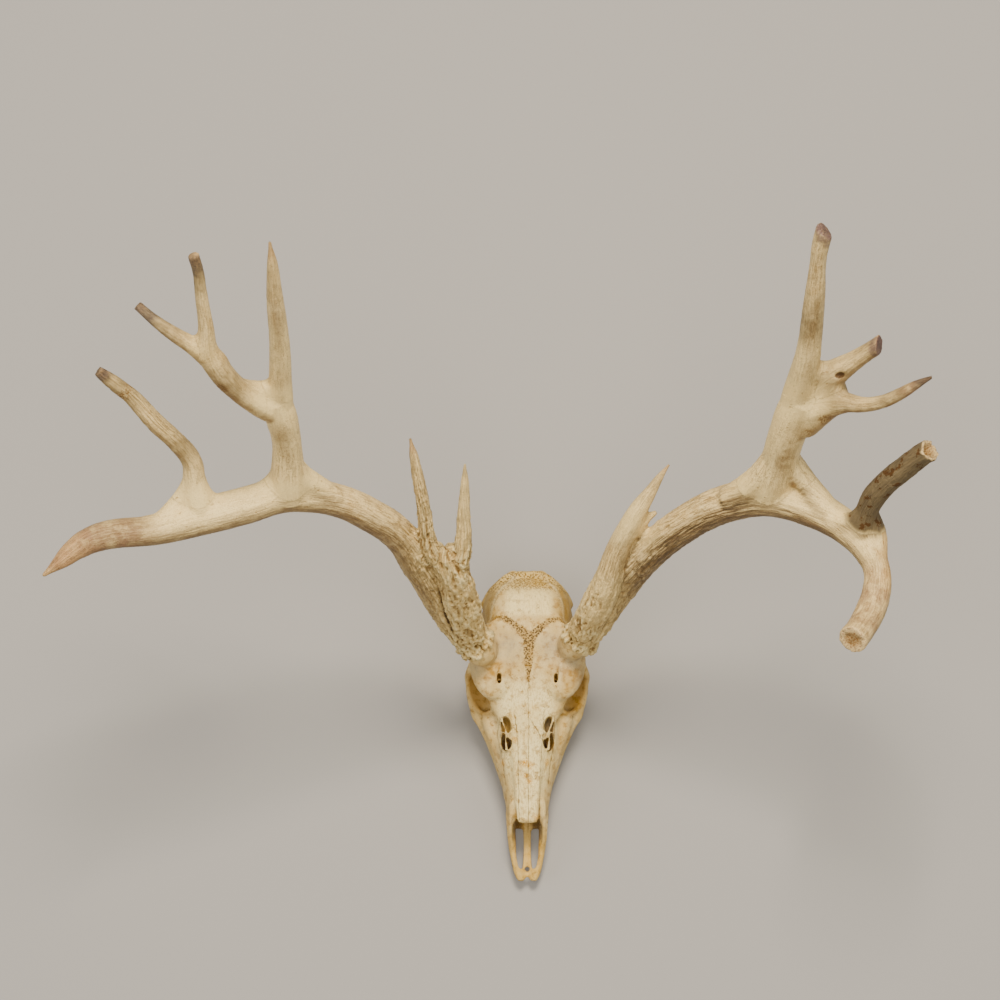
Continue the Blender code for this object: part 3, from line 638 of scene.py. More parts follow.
# Skull: forms fused into one bone, then hollowed, then carved
skullForm = {
    "roughVoxel": 1.5,
    "hollowVoxel": 1.2,
    "voxel": 1.25,
    "firstSmooth": 7,
    "lastSmooth": 1,
    "orbitRadius": 21.0,
    "orbitRim": 3.0,
    "orbitCentre": (43.0, 25.0, 69.0),
    "orbitFacing": (0.80, -0.36, 0.46),
    "sutureDepth": 0.3,
    "bandRoughness": 0.35,
    "poreDepth": 0.3,
    "ridgeHeight": 0.55,
    "grooveDepth": 2.4,
}


def mirrored(side, points):
    return [(side * p[0], *p[1:]) for p in points]


def orbitPlane(side):
    x, y, z = skullForm["orbitFacing"]
    facing = Vector((side * x, y, z)).normalized()
    x, y, z = skullForm["orbitCentre"]
    return Matrix.Translation((side * x, y, z)) @ facing.to_track_quat("Z", "Y").to_matrix().to_4x4()


def faceAndBrainCase():
    return [
        hull([
            (-95, 14, 50, 19, 30), (-84, 18.8, 58, 15, 30), (-64, 22.6, 66, 14, 32), (-44, 27, 73.5, 14, 34),
            (-24, 32, 81, 14, 36), (-4, 34, 88, 16, 38), (16, 34, 95, 20, 42), (36, 34, 101.5, 24, 50),
            (56, 36, 108, 27, 60), (74, 38.5, 112, 29, 68), (90, 41, 113, 29, 70), (106, 42, 110, 29, 68),
            (118, 39, 102.5, 29, 64), (128, 34, 93, 30, 60), (137, 24, 80, 33, 56), (142, 15, 68, 38, 52)]),
        hull([
            (-14, 23, 84, 66, 75), (-2, 29, 88.5, 66, 76), (10, 36, 93.5, 66, 78), (22, 44, 98, 68, 81),
            (34, 50.5, 102.5, 70, 84), (45, 53.5, 106.5, 74, 86), (58, 50, 110, 82, 90), (74, 42, 112.5, 90, 98),
            (92, 30, 111, 95, 103), (106, 18, 106, 98, 102)], 2.6),
        egg((-31, 50, 92), (24, 38, 17)),  # swell of the forehead below each antler
        egg((31, 50, 92), (24, 38, 17)),
        hull([
            (-98, 9.6, 60.5, 55, 57.5), (-86, 11, 64, 56, 60), (-62, 13, 70.5, 60, 65), (-32, 15.5, 80, 66, 73),
            (-4, 19, 90, 74, 82), (20, 17, 97.5, 84, 90)], 2.2),
    ]


def cheekAndOrbit(side):
    plane = orbitPlane(side)
    radius = skullForm["orbitRadius"]
    rim = []
    for k in range(19):
        angle = 2 * math.pi * k / 18
        corner = plane @ Vector((math.cos(angle) * radius, math.sin(angle) * radius, 0))
        rim.append((*corner, skullForm["orbitRim"]))
    return [
        bentTube(rim),
        bentTube(mirrored(side, [(11, -58, 42, 11), (15, -40, 44, 13.5), (20.5, -22, 47, 14), (27.5, -6, 51, 13.5),
                                 (34, 7, 54, 12)])),
        bentTube(mirrored(side, [
            (18, -54, 27, 7), (22.5, -38, 29, 8), (28.5, -20, 33, 8.5), (36.5, -4, 38, 8), (45, 10, 43, 7),
            (51, 24, 48, 6.2), (53.6, 38, 52, 5), (52.5, 54, 55, 4.2), (48, 70, 57, 4.4), (40, 84, 57, 6)])),
        egg((side * 42, 20, 42), (13, 22, 8)),
        bentTube(mirrored(side, [(43, 52, 92, 7), (51, 48, 81, 4.8), (55, 43, 69, 4.2), (54.5, 40, 54, 5)])),
    ]


def premaxilla(side):
    return [
        bentTube(mirrored(side, [
            (14, -80, 26, 6.5), (14.6, -96, 24, 5.2), (13.8, -110, 21.5, 4.6), (11.6, -124, 18.5, 4.2),
            (8.4, -137, 16, 4.4), (5.2, -145, 14, 3.6)])),
        bentTube(mirrored(side, [
            (13.5, -119, 22, 2.2), (15.2, -110, 31, 2.4), (15.8, -100, 42, 2.6), (15.0, -90, 50, 3.2),
            (13, -76, 56, 4)])),
        egg((side * 5.8, -138.5, 14.5), (5.0, 8, 3.4)),
    ]


def skullBase(side):
    return [
        bentTube(mirrored(side, [
            (16, -68, 22, 6), (17.8, -50, 22, 7.4), (21.5, -30, 22.5, 9), (25, -10, 23, 10), (28, 10, 24, 10),
            (29, 26, 25, 8.5), (26, 36, 28, 6)])),
        egg((side * 14, 44, 24), (3.4, 14, 11)),
        egg((side * 12.5, 62, 24), (3.0, 12, 8)),
        egg((side * 21, 104, 28), (8, 13, 9.5)),
        bentTube(mirrored(side, [(28, 122, 48, 9), (28.5, 125, 32, 7), (28.5, 126, 16, 4.8), (28, 125, 0.6, 3.2)])),
        egg((side * 13, 144, 39), (8.5, 9, 11.5)),
        egg((side * 34, 96, 58), (10, 22, 12)),
    ]


def crestAndPedicle(side, beam):
    foot = Vector(beam["route"][0][:3])
    axis = (Vector(beam["route"][1][:3]) - foot).normalized()
    return [
        bentTube(mirrored(side, [
            (-2, 135.5, 85, 4), (8, 136, 85, 4), (17.5, 134.5, 83.5, 4), (26, 129, 78, 4.2), (34.5, 121, 69, 5),
            (40, 110, 61, 5.5)])),
        bentTube([(side * 30, 66, 88, 16), (side * 40.5, 61, 104, 15), (*(foot - axis * 8), 14.4),
                  (*(foot + axis * 3), 15.2)]),
    ]


def palateProng(side):  # thin bone between the slots at the tip, left with a slit on the midline
    return bentTube(mirrored(side, [
        (3.0, -84, 19, 2.4), (2.2, -100, 17.5, 1.6), (2.1, -118, 16, 1.45), (2.6, -132, 14.5, 1.9)]))


def webOfStruts(side):  # thin bone left across the gap in front of the eye
    return [
        bentTube(mirrored(side, [
            (24.5, -2, 81.5, 1.2), (22.4, -9, 80, 0.9), (19.6, -16, 79, 1.0), (16.5, -23, 78.5, 1.1)])),
        bentTube(mirrored(side, [
            (26.5, -15, 73, 1.1), (22.8, -15.5, 77, 0.9), (18.8, -17.5, 79, 0.9), (15.0, -16, 83.5, 1.2)])),
        bentTube(mirrored(side, [(19.8, -16, 79, 0.9), (20.4, -22, 76, 1.0), (19.6, -32, 73, 1.3)])),
    ]


def skullHollows():
    cuts = []
    for side in (rightSide, leftSide):
        plane = orbitPlane(side)
        turn = plane.to_quaternion().to_matrix().to_4x4()
        reach = skullForm["orbitRadius"] - skullForm["orbitRim"] + 1
        cuts += [
            egg(plane @ Vector((0, 0, -4)), (reach, reach, 25), turn),
            egg((side * 47, 66, 66), (12, 17, 21)),
            egg((side * 37, 56, 36), (14, 22, 12)),
            egg((side * 20.6, -12, 80), (5.8, 11.5, 11)),  # open hollow between the snout and the forehead
            egg((side * 19.9, -23.5, 74), (5.6, 9.0, 17)),
            egg((side * 26.6, 31, 103), (2.0, 5.2, 9)),
            bentTube(mirrored(side, [(26.5, 27, 104, 2.2), (26.3, 29, 95, 2.2), (27, 31, 84, 1.6)])),
            bentTube(mirrored(side, [(37.5, 8.5, 84, 1.5), (32, 8, 76, 1.3)])),  # tear ducts on the rim
            bentTube(mirrored(side, [(39.5, 7, 75, 1.5), (33, 8, 71, 1.3)])),
            bentTube(mirrored(side, [(30, -44, 34, 2.2), (19, -30, 36, 2.2)])),  # nerve hole on the cheek
            egg((side * 12.6, -97, 54), (3.0, 6.5, 9)),  # gap beside the tip of the nasal bone
        ]
        slot = hull([(y, 4.1, 30, 5, 16) for y in (-96, -100, -110, -122)] + [(-134, 2.2, 30, 5, 14)], 2.2)
        places = readPoints(slot)
        places[:, 0] += side * (7.7 + 0.05 * (places[:, 1] + 100))
        writePoints(slot, places, False)
        cuts.append(slot)
    cuts += [
        hull([(-140, 9, 50, 22, 34), (-112, 10.5, 56, 22.5, 36), (-96, 11.5, 54, 21, 36), (-84, 12, 54.5, 22, 38),
              (-60, 13, 58, 24, 40), (-30, 12, 66, 28, 46), (0, 9, 72, 36, 54)], 2.2),
        hull([(-80, 7, 17, 4, 8), (-55, 9.5, 18, 4, 8), (-20, 13, 19.5, 4, 8), (10, 16, 20, 4, 8), (32, 14, 20, 4, 8)]),
        bentTube([(0, 26, 34, 5.5), (0, 42, 27, 9), (0, 60, 15, 10)]),
        bentTube([(0, 110, 52, 14), (0, 124, 49, 9.6), (0, 136, 48, 10.2), (0, 156, 44, 10.8)]),
        bentTube([(0.8, -112, 58, 1.0), (0.8, -101, 60, 0.8), (0.9, -92, 64, 0.5)]),  # slit between the nasal tips
        egg((-6.2, -99.5, 60), (2.2, 2.2, 4)),
        egg((6.6, -100.0, 60), (1.6, 3.2, 4)),
    ]
    return cuts


def buildSkull():
    forms = faceAndBrainCase()
    for side, beam in ((rightSide, rightAntler["beam"]), (leftSide, leftAntler["beam"])):
        forms += cheekAndOrbit(side) + premaxilla(side) + skullBase(side) + crestAndPedicle(side, beam)
    forms.append(egg((0, -98, 18.5), (11, 12, 2.6)))  # floor of the nose behind the slots
    skull = joinAll(forms, "skull_bone")
    fuse(skull, skullForm["roughVoxel"], skullForm["firstSmooth"])
    print("skull fused,", len(skull.data.polygons), "faces")
    cutter = joinAll(skullHollows(), "hollows")
    fuse(cutter, skullForm["hollowVoxel"], skullForm["lastSmooth"])
    applyModifier(skull, "BOOLEAN", operation="DIFFERENCE", solver="MANIFOLD", object=cutter)
    bpy.data.objects.remove(cutter, do_unlink=True)
    struts = webOfStruts(rightSide) + webOfStruts(leftSide)
    skull = joinAll([skull, palateProng(rightSide), palateProng(leftSide)] + struts, "skull_bone")
    fuse(skull, skullForm["voxel"], skullForm["lastSmooth"])
    print("skull hollowed,", len(skull.data.polygons), "faces")
    return skull


# Seams between the bones, as x and y seen from above, in two sets of three
seams = {
    "middle": [(0.6, 32), (1.1, 22), (0.4, 11), (1.2, -4), (1.4, -15), (0.8, -28), (1.0, -42), (0.7, -60), (1.0, -78),
               (0.8, -99)],
    "nasalRight": [(-12.5, 2), (-11.0, -8), (-9.9, -19), (-8.9, -33), (-8.6, -60), (-8.0, -98)],
    "nasalLeft": [(15.5, 2), (15.2, -8), (14.6, -18), (13.4, -33), (12.2, -60), (11.0, -98)],
    "crack": [(4.2, -8), (7.9, -13.4), (11.7, -19.3), (14.6, -25)],
    "cheekRight": [(-26, -4), (-29, -15), (-26, -30), (-23, -43), (-21, -60)],
    "cheekLeft": [(25.6, -2), (26.0, -12), (24.6, -28), (22, -43), (20, -60)],
}
sutureBands = {  # x, y, half width
    "middle": [(1.6, 66, 5.6), (1.4, 56, 5.2), (1.2, 48, 4.2), (0.9, 38, 2.6), (0.9, 28, 1.4)],
    "crownRight": [(-35, 86, 1.6), (-28, 88.5, 2.2), (-18.3, 85, 2.8), (-11.7, 80, 3.2), (-5, 73, 4.2),
                   (1.4, 66, 5.4)],
    "crownLeft": [(36, 84, 1.6), (28, 86.5, 2.2), (19.2, 83, 2.8), (12.6, 77, 3.4), (7, 71.5, 4.2), (1.8, 66, 5.4)],
}
browRidges = [  # raised lines from the antlers back to the nape, x, y, z
    [(-13, 133, 89), (-25, 118, 95), (-31, 104, 98), (-34, 90, 97), (-38, 78, 98)],
    [(14, 134, 89), (26, 121, 92), (32, 105, 97.5), (34, 89, 97), (38, 78, 98)],
    [(31, 43, 108.5), (30.8, 28, 105.5), (29.5, 12, 92)],
]
browGrooves = [[(-27.5, 43), (-26.9, 35), (-26.5, 29)], [(29.0, 43), (27.8, 35), (26.6, 29)]]  # x, y, into the holes
skullPatches = {  # spots of x, y, z, radius
    "lilac": [(43, 44, 108, 20), (48, 34, 100, 14), (24, 58, 112, 20), (-20, 58, 112, 22), (-46, 40, 100, 14),
              (-24, -34, 66, 16)],
    "brown": [(40, 29, 105, 12), (30, 34, 108, 13), (46, 34, 100, 10), (-32, 34, 106, 14), (-20, 34, 106, 9),
              (4, 18, 98, 8)],
    "spots": [(-23, -41, 60, 4.5), (-26, -43, 58, 4), (-2.4, -44.6, 76, 5), (2.3, -47, 75, 4.5), (-1.4, -56, 72, 3.5),
              (1.4, -61, 71, 4), (18.4, -42, 66, 4), (-12, -23, 80, 4), (8, -93, 58, 5)],
}


def toPolyline(points, line):  # distance from points to a line of corners, signed by side, and the share along it
    line = np.array(line, dtype=float)
    best = np.full(len(points), 1e9)
    signed = np.full(len(points), 1e9)
    share = np.zeros(len(points))
    for index, (a, b) in enumerate(zip(line, line[1:])):
        span = b - a
        t = np.clip(((points - a) @ span) / span.dot(span), 0, 1)
        offset = points - (a + t[:, None] * span)
        away = np.linalg.norm(offset, axis=1)
        closer = away < best
        best[closer] = away[closer]
        if points.shape[1] == 2:
            turn = np.sign(offset[:, 0] * span[1] - offset[:, 1] * span[0])
            signed[closer] = (away * np.where(turn == 0, 1, turn))[closer]
        share[closer] = ((index + t) / (len(line) - 1))[closer]
    return best, signed, share


def window(values, low, full, fullEnd, high):  # 0 outside low to high and 1 from full to fullEnd
    return fade(values, low, full) * (1 - fade(values, fullEnd, high))


def carveSkull(skull):
    points = readPoints(skull)
    normals = readNormals(skull)
    x, y, z = points.T
    out = np.abs(x)
    nothing = np.zeros(len(points))
    up = fade(normals[:, 2], 0.05, 0.3)  # seams are carved on faces that look up
    jitter = np.stack([noiseAt(points / 2.6), noiseAt(points / 2.6 + 50)], axis=1)
    plan = points[:, :2] + (0.5 + 0.7 * fade(y, -30, 0))[:, None] * jitter
    signed = {}
    nearSeam = nothing + 1e9
    for name, line in seams.items():
        away, signed[name], _ = toPolyline(plan, line)
        nearSeam = np.minimum(nearSeam, away)
    band, ridge, groove, crown = nothing, nothing, nothing, nothing
    for line in sutureBands.values():
        away, _, share = toPolyline(plan, [p[:2] for p in line])
        halfWidth = np.interp(share, np.linspace(0, 1, len(line)), [p[2] for p in line])
        band = np.maximum(band, 1 - fade(away / halfWidth, 0.2, 1.3))
    band = band * up * (z > 80)
    for index, line in enumerate(browRidges):
        away, _, _ = toPolyline(points, line)
        ridge = np.maximum(ridge, bell(away, 2.4))
        if index < 2:
            crown = np.maximum(crown, 1 - fade(away, 1.0, 5.5))
    for line in browGrooves:
        away, _, share = toPolyline(plan, line)
        groove = np.maximum(groove, bell(away, 1.3) * (0.35 + 0.65 * share) * fade(z, 80, 90) * up)
    nape = fade(y, 108, 128) * fade(z, 55, 75)
    speck = np.clip(1 - cellsAt(points / 1.9) * 1.6, 0, 1)
    cellWear = np.clip(1 - cellsAt(points / np.array((2.2, 2.2, 3.0)) + 7) * 1.5, 0, 1)
    face = fade(-y, -30, 0) * (1 - fade(z, 60, 84))
    height = (0.35 * noiseAt(points / 17.0) + 0.07 * noiseAt(points / 3.4)
              + skullForm["bandRoughness"] * band * (speck - 0.45)
              - skullForm["sutureDepth"] * bell(nearSeam, 0.8) * up
              + skullForm["ridgeHeight"] * ridge
              - skullForm["grooveDepth"] * groove
              - skullForm["poreDepth"] * nape * cellWear
              - 0.2 * face * speck * fade(noiseAt(points / 9.0 + 30), 0.0, 0.3))
    writePoints(skull, points + normals * (height * (0.25 + 0.75 * fade(y, -104, -92)))[:, None])

    # Masks for the material. Painted shade, near-black in the dark depths: the hollow in front of the eye, its floor,
    # and the nose beside its bones
    storeTriple(skull, "seamsA", [signed["middle"], signed["nasalRight"], signed["nasalLeft"]])
    storeTriple(skull, "seamsB", [signed["crack"], signed["cheekRight"], signed["cheekLeft"]])
    # Painted shade inside the eye sockets and the nose cavity
    inside = nothing
    for side in (rightSide, leftSide):
        centre = np.array(orbitPlane(side).translation)
        away = np.linalg.norm((points - centre) / np.array((19, 23, 22)), axis=1)
        inside = np.maximum(inside, 1 - fade(away, 0.85, 1.12))
    bore = fade(-y, -20, 60) * (out < 12) * window(z, 19, 24, 48, 58)
    flatter = np.array((1, 0.45, 0.6))
    vacuity = roundPatch(points * flatter, [(*(np.array((side * 20.5, -17, 76)) * flatter), 10) for side in (-1, 1)])
    shaft = (1 - fade(z, 60, 74)) * window(y, -38, -32, -4, 2) * window(out, 13, 15, 26, 28)
    shaft = shaft * (z > 40) * (readNormals(skull)[:, 2] > -0.9) * (out < 26 - 0.25 * np.abs(y + 17))
    nostril = window(-y, 86, 94, 106, 113) * (1 - fade(z, 44, 49)) * window(out, 3, 6, 13, 15.5)
    sunk = fade(82.5 + 0.37 * y - z, 3.0, 6.5) * window(y, -34, -30, 0, 4) * window(out, 13, 15, 24, 26)
    depth = hollowness(skull, 14)
    storeMasks(
        skull, band=band, ridge=ridge, groove=groove, nape=nape, edging=crown, vacuity=vacuity,
        nearSeam=nearSeam + 6 * (1 - up),
        inside=np.clip(inside + bore, 0, 1),
        ivory=fade(-y, -42, -14) * (1 - fade(out, 20, 34)) * fade(z, 50, 66),
        parietal=(1 - fade(np.abs(x - 1), 17, 27)) * window(y, 86, 92, 116, 122) * fade(z, 92, 100),
        # Darker greyish brown on the sides of the braincase: painted shade over its tan bone
        flank=fade(out, 24, 34) * fade(y, 78, 88) * (1 - fade(z, 98, 106)),
        nose=fade(-y, 92, 112),
        grease=fade(noiseAt(points / 26.0 + 60), 0.05, 0.4),
        # Painted shade in the openings
        deep=np.maximum(np.maximum(shaft, 0.75 * nostril), 0.85 * sunk),
        # Painted shade: darker where the surface lies below its smoothed self
        hollow=fade(depth, 0.12, 0.9),
        worn=fade(-depth, 0.2, 1.0),
        **{name: roundPatch(points, spots) for name, spots in skullPatches.items()})


skullObject = buildSkull()
carveSkull(skullObject)
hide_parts("skull")
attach(skullObject, "root")
print("skull carved")


# Cheek teeth: length along the jaw, width, how far out from the midline, number of lobes
toothSizes = {
    "premolar_2": (10.0, 8.5, 18.5, 1), "premolar_3": (11.5, 10.5, 20.0, 1), "premolar_4": (11.0, 12.0, 22.0, 1),
    "molar_1": (14.5, 13.5, 24.5, 2), "molar_2": (16.5, 14.5, 27.0, 2), "molar_3": (17.0, 14.0, 28.5, 2),
}
toothForm = {
    "rowStart": -54.0,
    "neckHeight": 17.5,
    "gap": 0.35,
    "foldDepth": 1.1,
    "ribHeight": 0.5,
    "pitDepth": 1.9,
    "sides": 88,
}


def growTooth(side, prefix, label, start):
    length, width, offset, lobes = toothSizes[label]
    halfLength = length / 2 - toothForm["gap"]
    halfWidth = width / 2
    sides = toothForm["sides"]
    angles = 2 * math.pi * np.arange(sides) / sides
    c, s = np.cos(angles), np.sin(angles)
    along = np.sign(s) * np.abs(s) ** 0.55 * halfLength
    across = np.sign(c) * np.abs(c) ** 0.6 * halfWidth
    lobeWave = np.cos(2 * math.pi * along / (2 * halfLength) * lobes + (math.pi if lobes == 2 else 0))
    cheekSide = fade(across, 0.1 * halfWidth, 0.8 * halfWidth)
    tongueSide = fade(-across, 0.1 * halfWidth, 0.8 * halfWidth)
    across -= cheekSide * (0.45 + toothForm["ribHeight"] * np.cos(2 * math.pi * along / halfLength * lobes))
    if lobes == 2:
        across += tongueSide * toothForm["foldDepth"] * bell(along, 1.3)
        across -= cheekSide * 0.5 * toothForm["foldDepth"] * bell(np.abs(along) - 0.5 * halfLength, 1.2)
    rings = []
    for k in range(17):
        z = toothForm["neckHeight"] - k * (toothForm["neckHeight"] - 0.5) / 16
        flare = 0.93 + 0.06 * bell(z - 6, 5) - 0.05 * max(0, (z - 13) / 4)
        rings.append([(side * (offset + u * flare), start + length / 2 + v * (0.9 + 0.09 * flare), z)
                      for u, v in zip(across, along)])
    for k in range(15):
        scale = 0.93 * (1 - (k + 0.4) / 15)
        ring = []
        for u, v in zip(across * scale, along * scale):
            lobeV = v - math.copysign(halfLength / 2, v) if lobes == 2 else v
            reach = math.hypot(u + 0.12 * width, 1.15 * lobeV)
            arc = abs(reach - 0.25 * width)
            pit = bell(arc, 0.055 * width) * (1 if u < 0.22 * width else 0.25)
            ridge = max(bell(arc - 0.11 * width, 0.035 * width), bell(scale - 0.93, 0.09))
            z = 0.75 - 0.7 * ridge + toothForm["pitDepth"] * pit + 0.35 * max(0, -u / halfWidth)
            ring.append((side * (offset + u), start + length / 2 + v, max(z, 0.02)))
        rings.append(ring)
    tooth = rolledGrid(rings)
    tooth.name = prefix + label + "_crown"
    points = readPoints(tooth)
    normals = readNormals(tooth)
    grit = noiseAt(points / np.array((1.1, 1.1, 5.0)))
    points[:, :2] += normals[:, :2] * (0.09 * grit * fade(points[:, 2], 0.6, 3))[:, None]
    writePoints(tooth, points)
    z = points[:, 2]
    outwards = points[:, 0] * side - offset
    storeMasks(
        tooth,
        pit=fade(z, 0.9, 1.8) * (1 - fade(z, 3.0, 3.2)) * (normals[:, 2] < 0.2)
        * fade(halfWidth - np.abs(outwards), 0.8, 1.8),
        ridge=1 - fade(z, 0.15, 0.45),
        neck=fade(z, 8, 15),
        fold=np.clip(1.3 * fade(-outwards, halfWidth - 3, halfWidth - 1.2), 0, 1))
    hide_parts(prefix + label)
    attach(tooth, "root")
    return tooth


teeth = []
for side, prefix in ((rightSide, "right_"), (leftSide, "left_")):
    start = toothForm["rowStart"]
    for label, sizes in toothSizes.items():
        teeth.append(growTooth(side, prefix, label, start))
        start += sizes[0]
print("teeth grown")


def addNode(material, kind, sockets=(), **settings):  # sockets: name or number to a value or to what is linked there
    node = material.node_tree.nodes.new("ShaderNode" + kind)
    for key, value in settings.items():
        setattr(node, key, value)
    for key, value in dict(sockets).items():
        if isinstance(value, bpy.types.Node):
            value = value.outputs[0]
        if isinstance(value, bpy.types.NodeSocket):
            material.node_tree.links.new(value, node.inputs[key])
        else:
            node.inputs[key].default_value = value
    return node


def startMaterial(name, masks=(), patterns=None):  # patterns: coordinates, stretch, scale, detail, roughness
    material = bpy.data.materials.new(name)
    material.use_nodes = True
    material.node_tree.nodes.clear()
    at = {mask: addNode(material, "Attribute", attribute_name=mask).outputs["Fac"] for mask in masks}
    for pattern, (coordinates, stretch, scale, detail, roughness) in (patterns or {}).items():
        if coordinates == "grain" and coordinates not in at:
            at["grain"] = addNode(material, "Attribute", attribute_name="grain").outputs["Vector"]
        if coordinates == "place" and coordinates not in at:
            metres = addNode(material, "TexCoord").outputs["Object"]
            at["place"] = addNode(material, "VectorMath", {0: metres, 1: [1 / millimetre] * 3}, operation="MULTIPLY")
        laid = addNode(material, "VectorMath", {0: at[coordinates], 1: stretch}, operation="MULTIPLY")
        at[pattern] = addNode(material, "TexNoise", {
            "Vector": laid, "Scale": scale, "Detail": detail, "Roughness": roughness})
    return material, at


def overlap(material, at, *parts):  # product of masks: each a number, a name, or a name, low, high and two levels
    product = None
    for part in parts:
        if isinstance(part, tuple):
            name, *limits = part
            limits += [0.0, 1.0][len(limits) - 2:]
            part = addNode(material, "MapRange", {0: at[name], **dict(enumerate(limits, 1))},
                           interpolation_type="SMOOTHSTEP")
        elif isinstance(part, str):
            part = at[part]
        if product is not None:
            part = addNode(material, "Math", {0: product, 1: part}, operation="MULTIPLY", use_clamp=True)
        product = part
    return product


def paintLayers(material, at, base, layers):  # each layer: its colour and where it lies, over the ones before
    colour = linear(base)
    for hexText, *parts in layers:
        colour = addNode(material, "Mix", {0: overlap(material, at, *parts), 6: colour, 7: linear(hexText)},
                         data_type="RGBA").outputs[2]
    return colour


def finishMaterial(material, look, colour, roughness, height, dents=()):
    for dent, depth in dents:
        height = addNode(material, "Math", {0: dent, 1: depth, 2: height}, operation="MULTIPLY_ADD")
    relief = addNode(material, "Bump", {
        "Height": height, "Strength": look["bump"], "Distance": look["bumpDepth"] * millimetre})
    colour = addNode(material, "HueSaturation", {"Color": colour, "Saturation": look["saturation"]})
    shader = addNode(material, "BsdfPrincipled", {
        "Base Color": colour, "Roughness": roughness, "Normal": relief, "Specular IOR Level": look["specular"]})
    addNode(material, "OutputMaterial", {0: shader})
    return material


antlerLook = {
    "bump": 0.9, "bumpDepth": 0.75, "specular": 0.35, "saturation": 1.18, "base": "#DDC391",
    "layers": [
        ("#E2C997", ("broad", 0.38, 0.66)),
        ("#BD9A64", ("patchy", 0.5, 0.68), 0.25),
        ("#EDD8AE", ("streak", 0.5, 0.72), "paleStreaks"),
        ("#AE8B5A", ("streak", 0.46, 0.3), "darkStreaks"),
        ("#8A683E", ("fibre", 0.5, 0.64), "darkFibres"),
        # Pale smooth bone; on the fork stems a painted highlight
        ("#EBD39E", "smoothPale", 0.8),
        ("#CFB282", "smoothPale", ("fibre", 0.5, 0.68), 0.35),
        ("#8E6F48", ("speckle", 0.53, 0.65), 0.42),
        ("#72563A", ("grit", 0.54, 0.64), ("patchy", 0.42, 0.6, 0.1, 0.6)),
        ("#8E7B59", "ash", ("patchy", 0.3, 0.6, 0.65, 0.95)),
        ("#52381D", "fissure", 0.95),
        ("#E2C88F", "joint", ("patchy", 0.3, 0.62, 0.6, 0.9)),
        ("#EBD39E", "smoothPale", "joint"),
        # Painted shade along the edges that look away from the light
        ("#75583A", "lowEdge", ("patchy", 0.3, 0.6, 0.35, 0.85)),
        # Painted shade on the underside of the beams, away from the light
        ("#594230", "under", ("streak", 0.62, 0.4, 0.25, 0.95)),
        ("#3E2C1C", "under", ("fibre", 0.46, 0.58)),
        ("#563C1F", ("grooveMask", 0.3, 0.95), 0.85),
        ("#DABE86", "gnarl", ("patchy", 0.3, 0.6, 0.5, 0.85)),
        ("#F0DCA8", ("crown", 0.2, 0.8), ("patchy", 0.35, 0.6, 0.85, 0.5)),
        ("#A5824E", "gnarl", ("grit", 0.54, 0.66, 0.0, 0.6)),
        ("#6E4D28", ("pit", 0.15, 0.85), ("grit", 0.35, 0.6, 0.5, 0.9)),
        # Painted shade in the recesses
        ("#6A4B28", "hollow", 0.7),
        ("#EBD6A6", "worn", 0.45),
        # Painted shade in the cleft and in the small deep hole
        ("#4A3018", ("cleft", 0.2, 0.8), 0.9),
        ("#8B6C43", "poreDots", "bare", "veryPale"),
        ("#80634C", "rosy", ("patchy", 0.35, 0.6, 0.35, 0.95)),
        ("#BF9870", ("tip", 0.05, 0.7), ("streak", 0.35, 0.65, 0.3, 0.7)),
        ("#6A4A28", ("stain", 0.15, 0.7), ("speckle", 0.42, 0.58)),
        ("#4E4034", ("soot", 0.1, 0.7), ("speckle", 0.3, 0.6, 1.0, 0.75)),
        ("#65573F", "weathered"),
        ("#8E7E64", "weathered", ("fibre", 0.5, 0.68), 0.35),
        ("#574A38", "weathered", ("streak", 0.47, 0.34), 0.7),
        ("#4E3418", "weathered", ("patchy", 0.57, 0.63)),
        ("#B89668", ("peeled", 0.0, 1.0, 0.0, 0.6), ("patchy", 0.3, 0.55, 0.5, 1.0)),
        ("#7E6140", "peeled", ("fibre", 0.54, 0.66)),
        ("#D2B98C", "endFace", 0.9),
        ("#94765A", "endFace", ("speckle", 0.5, 0.62)),
        ("#5C4640", "scar", ("speckle", 0.3, 0.55, 0.7, 1.0)),
        ("#A38C78", "scar", ("speckle", 0.56, 0.66, 0.0, 0.6)),
        ("#84603A", "marrow", ("speckle", 0.4, 0.6, 0.5, 0.9)),
    ],
}


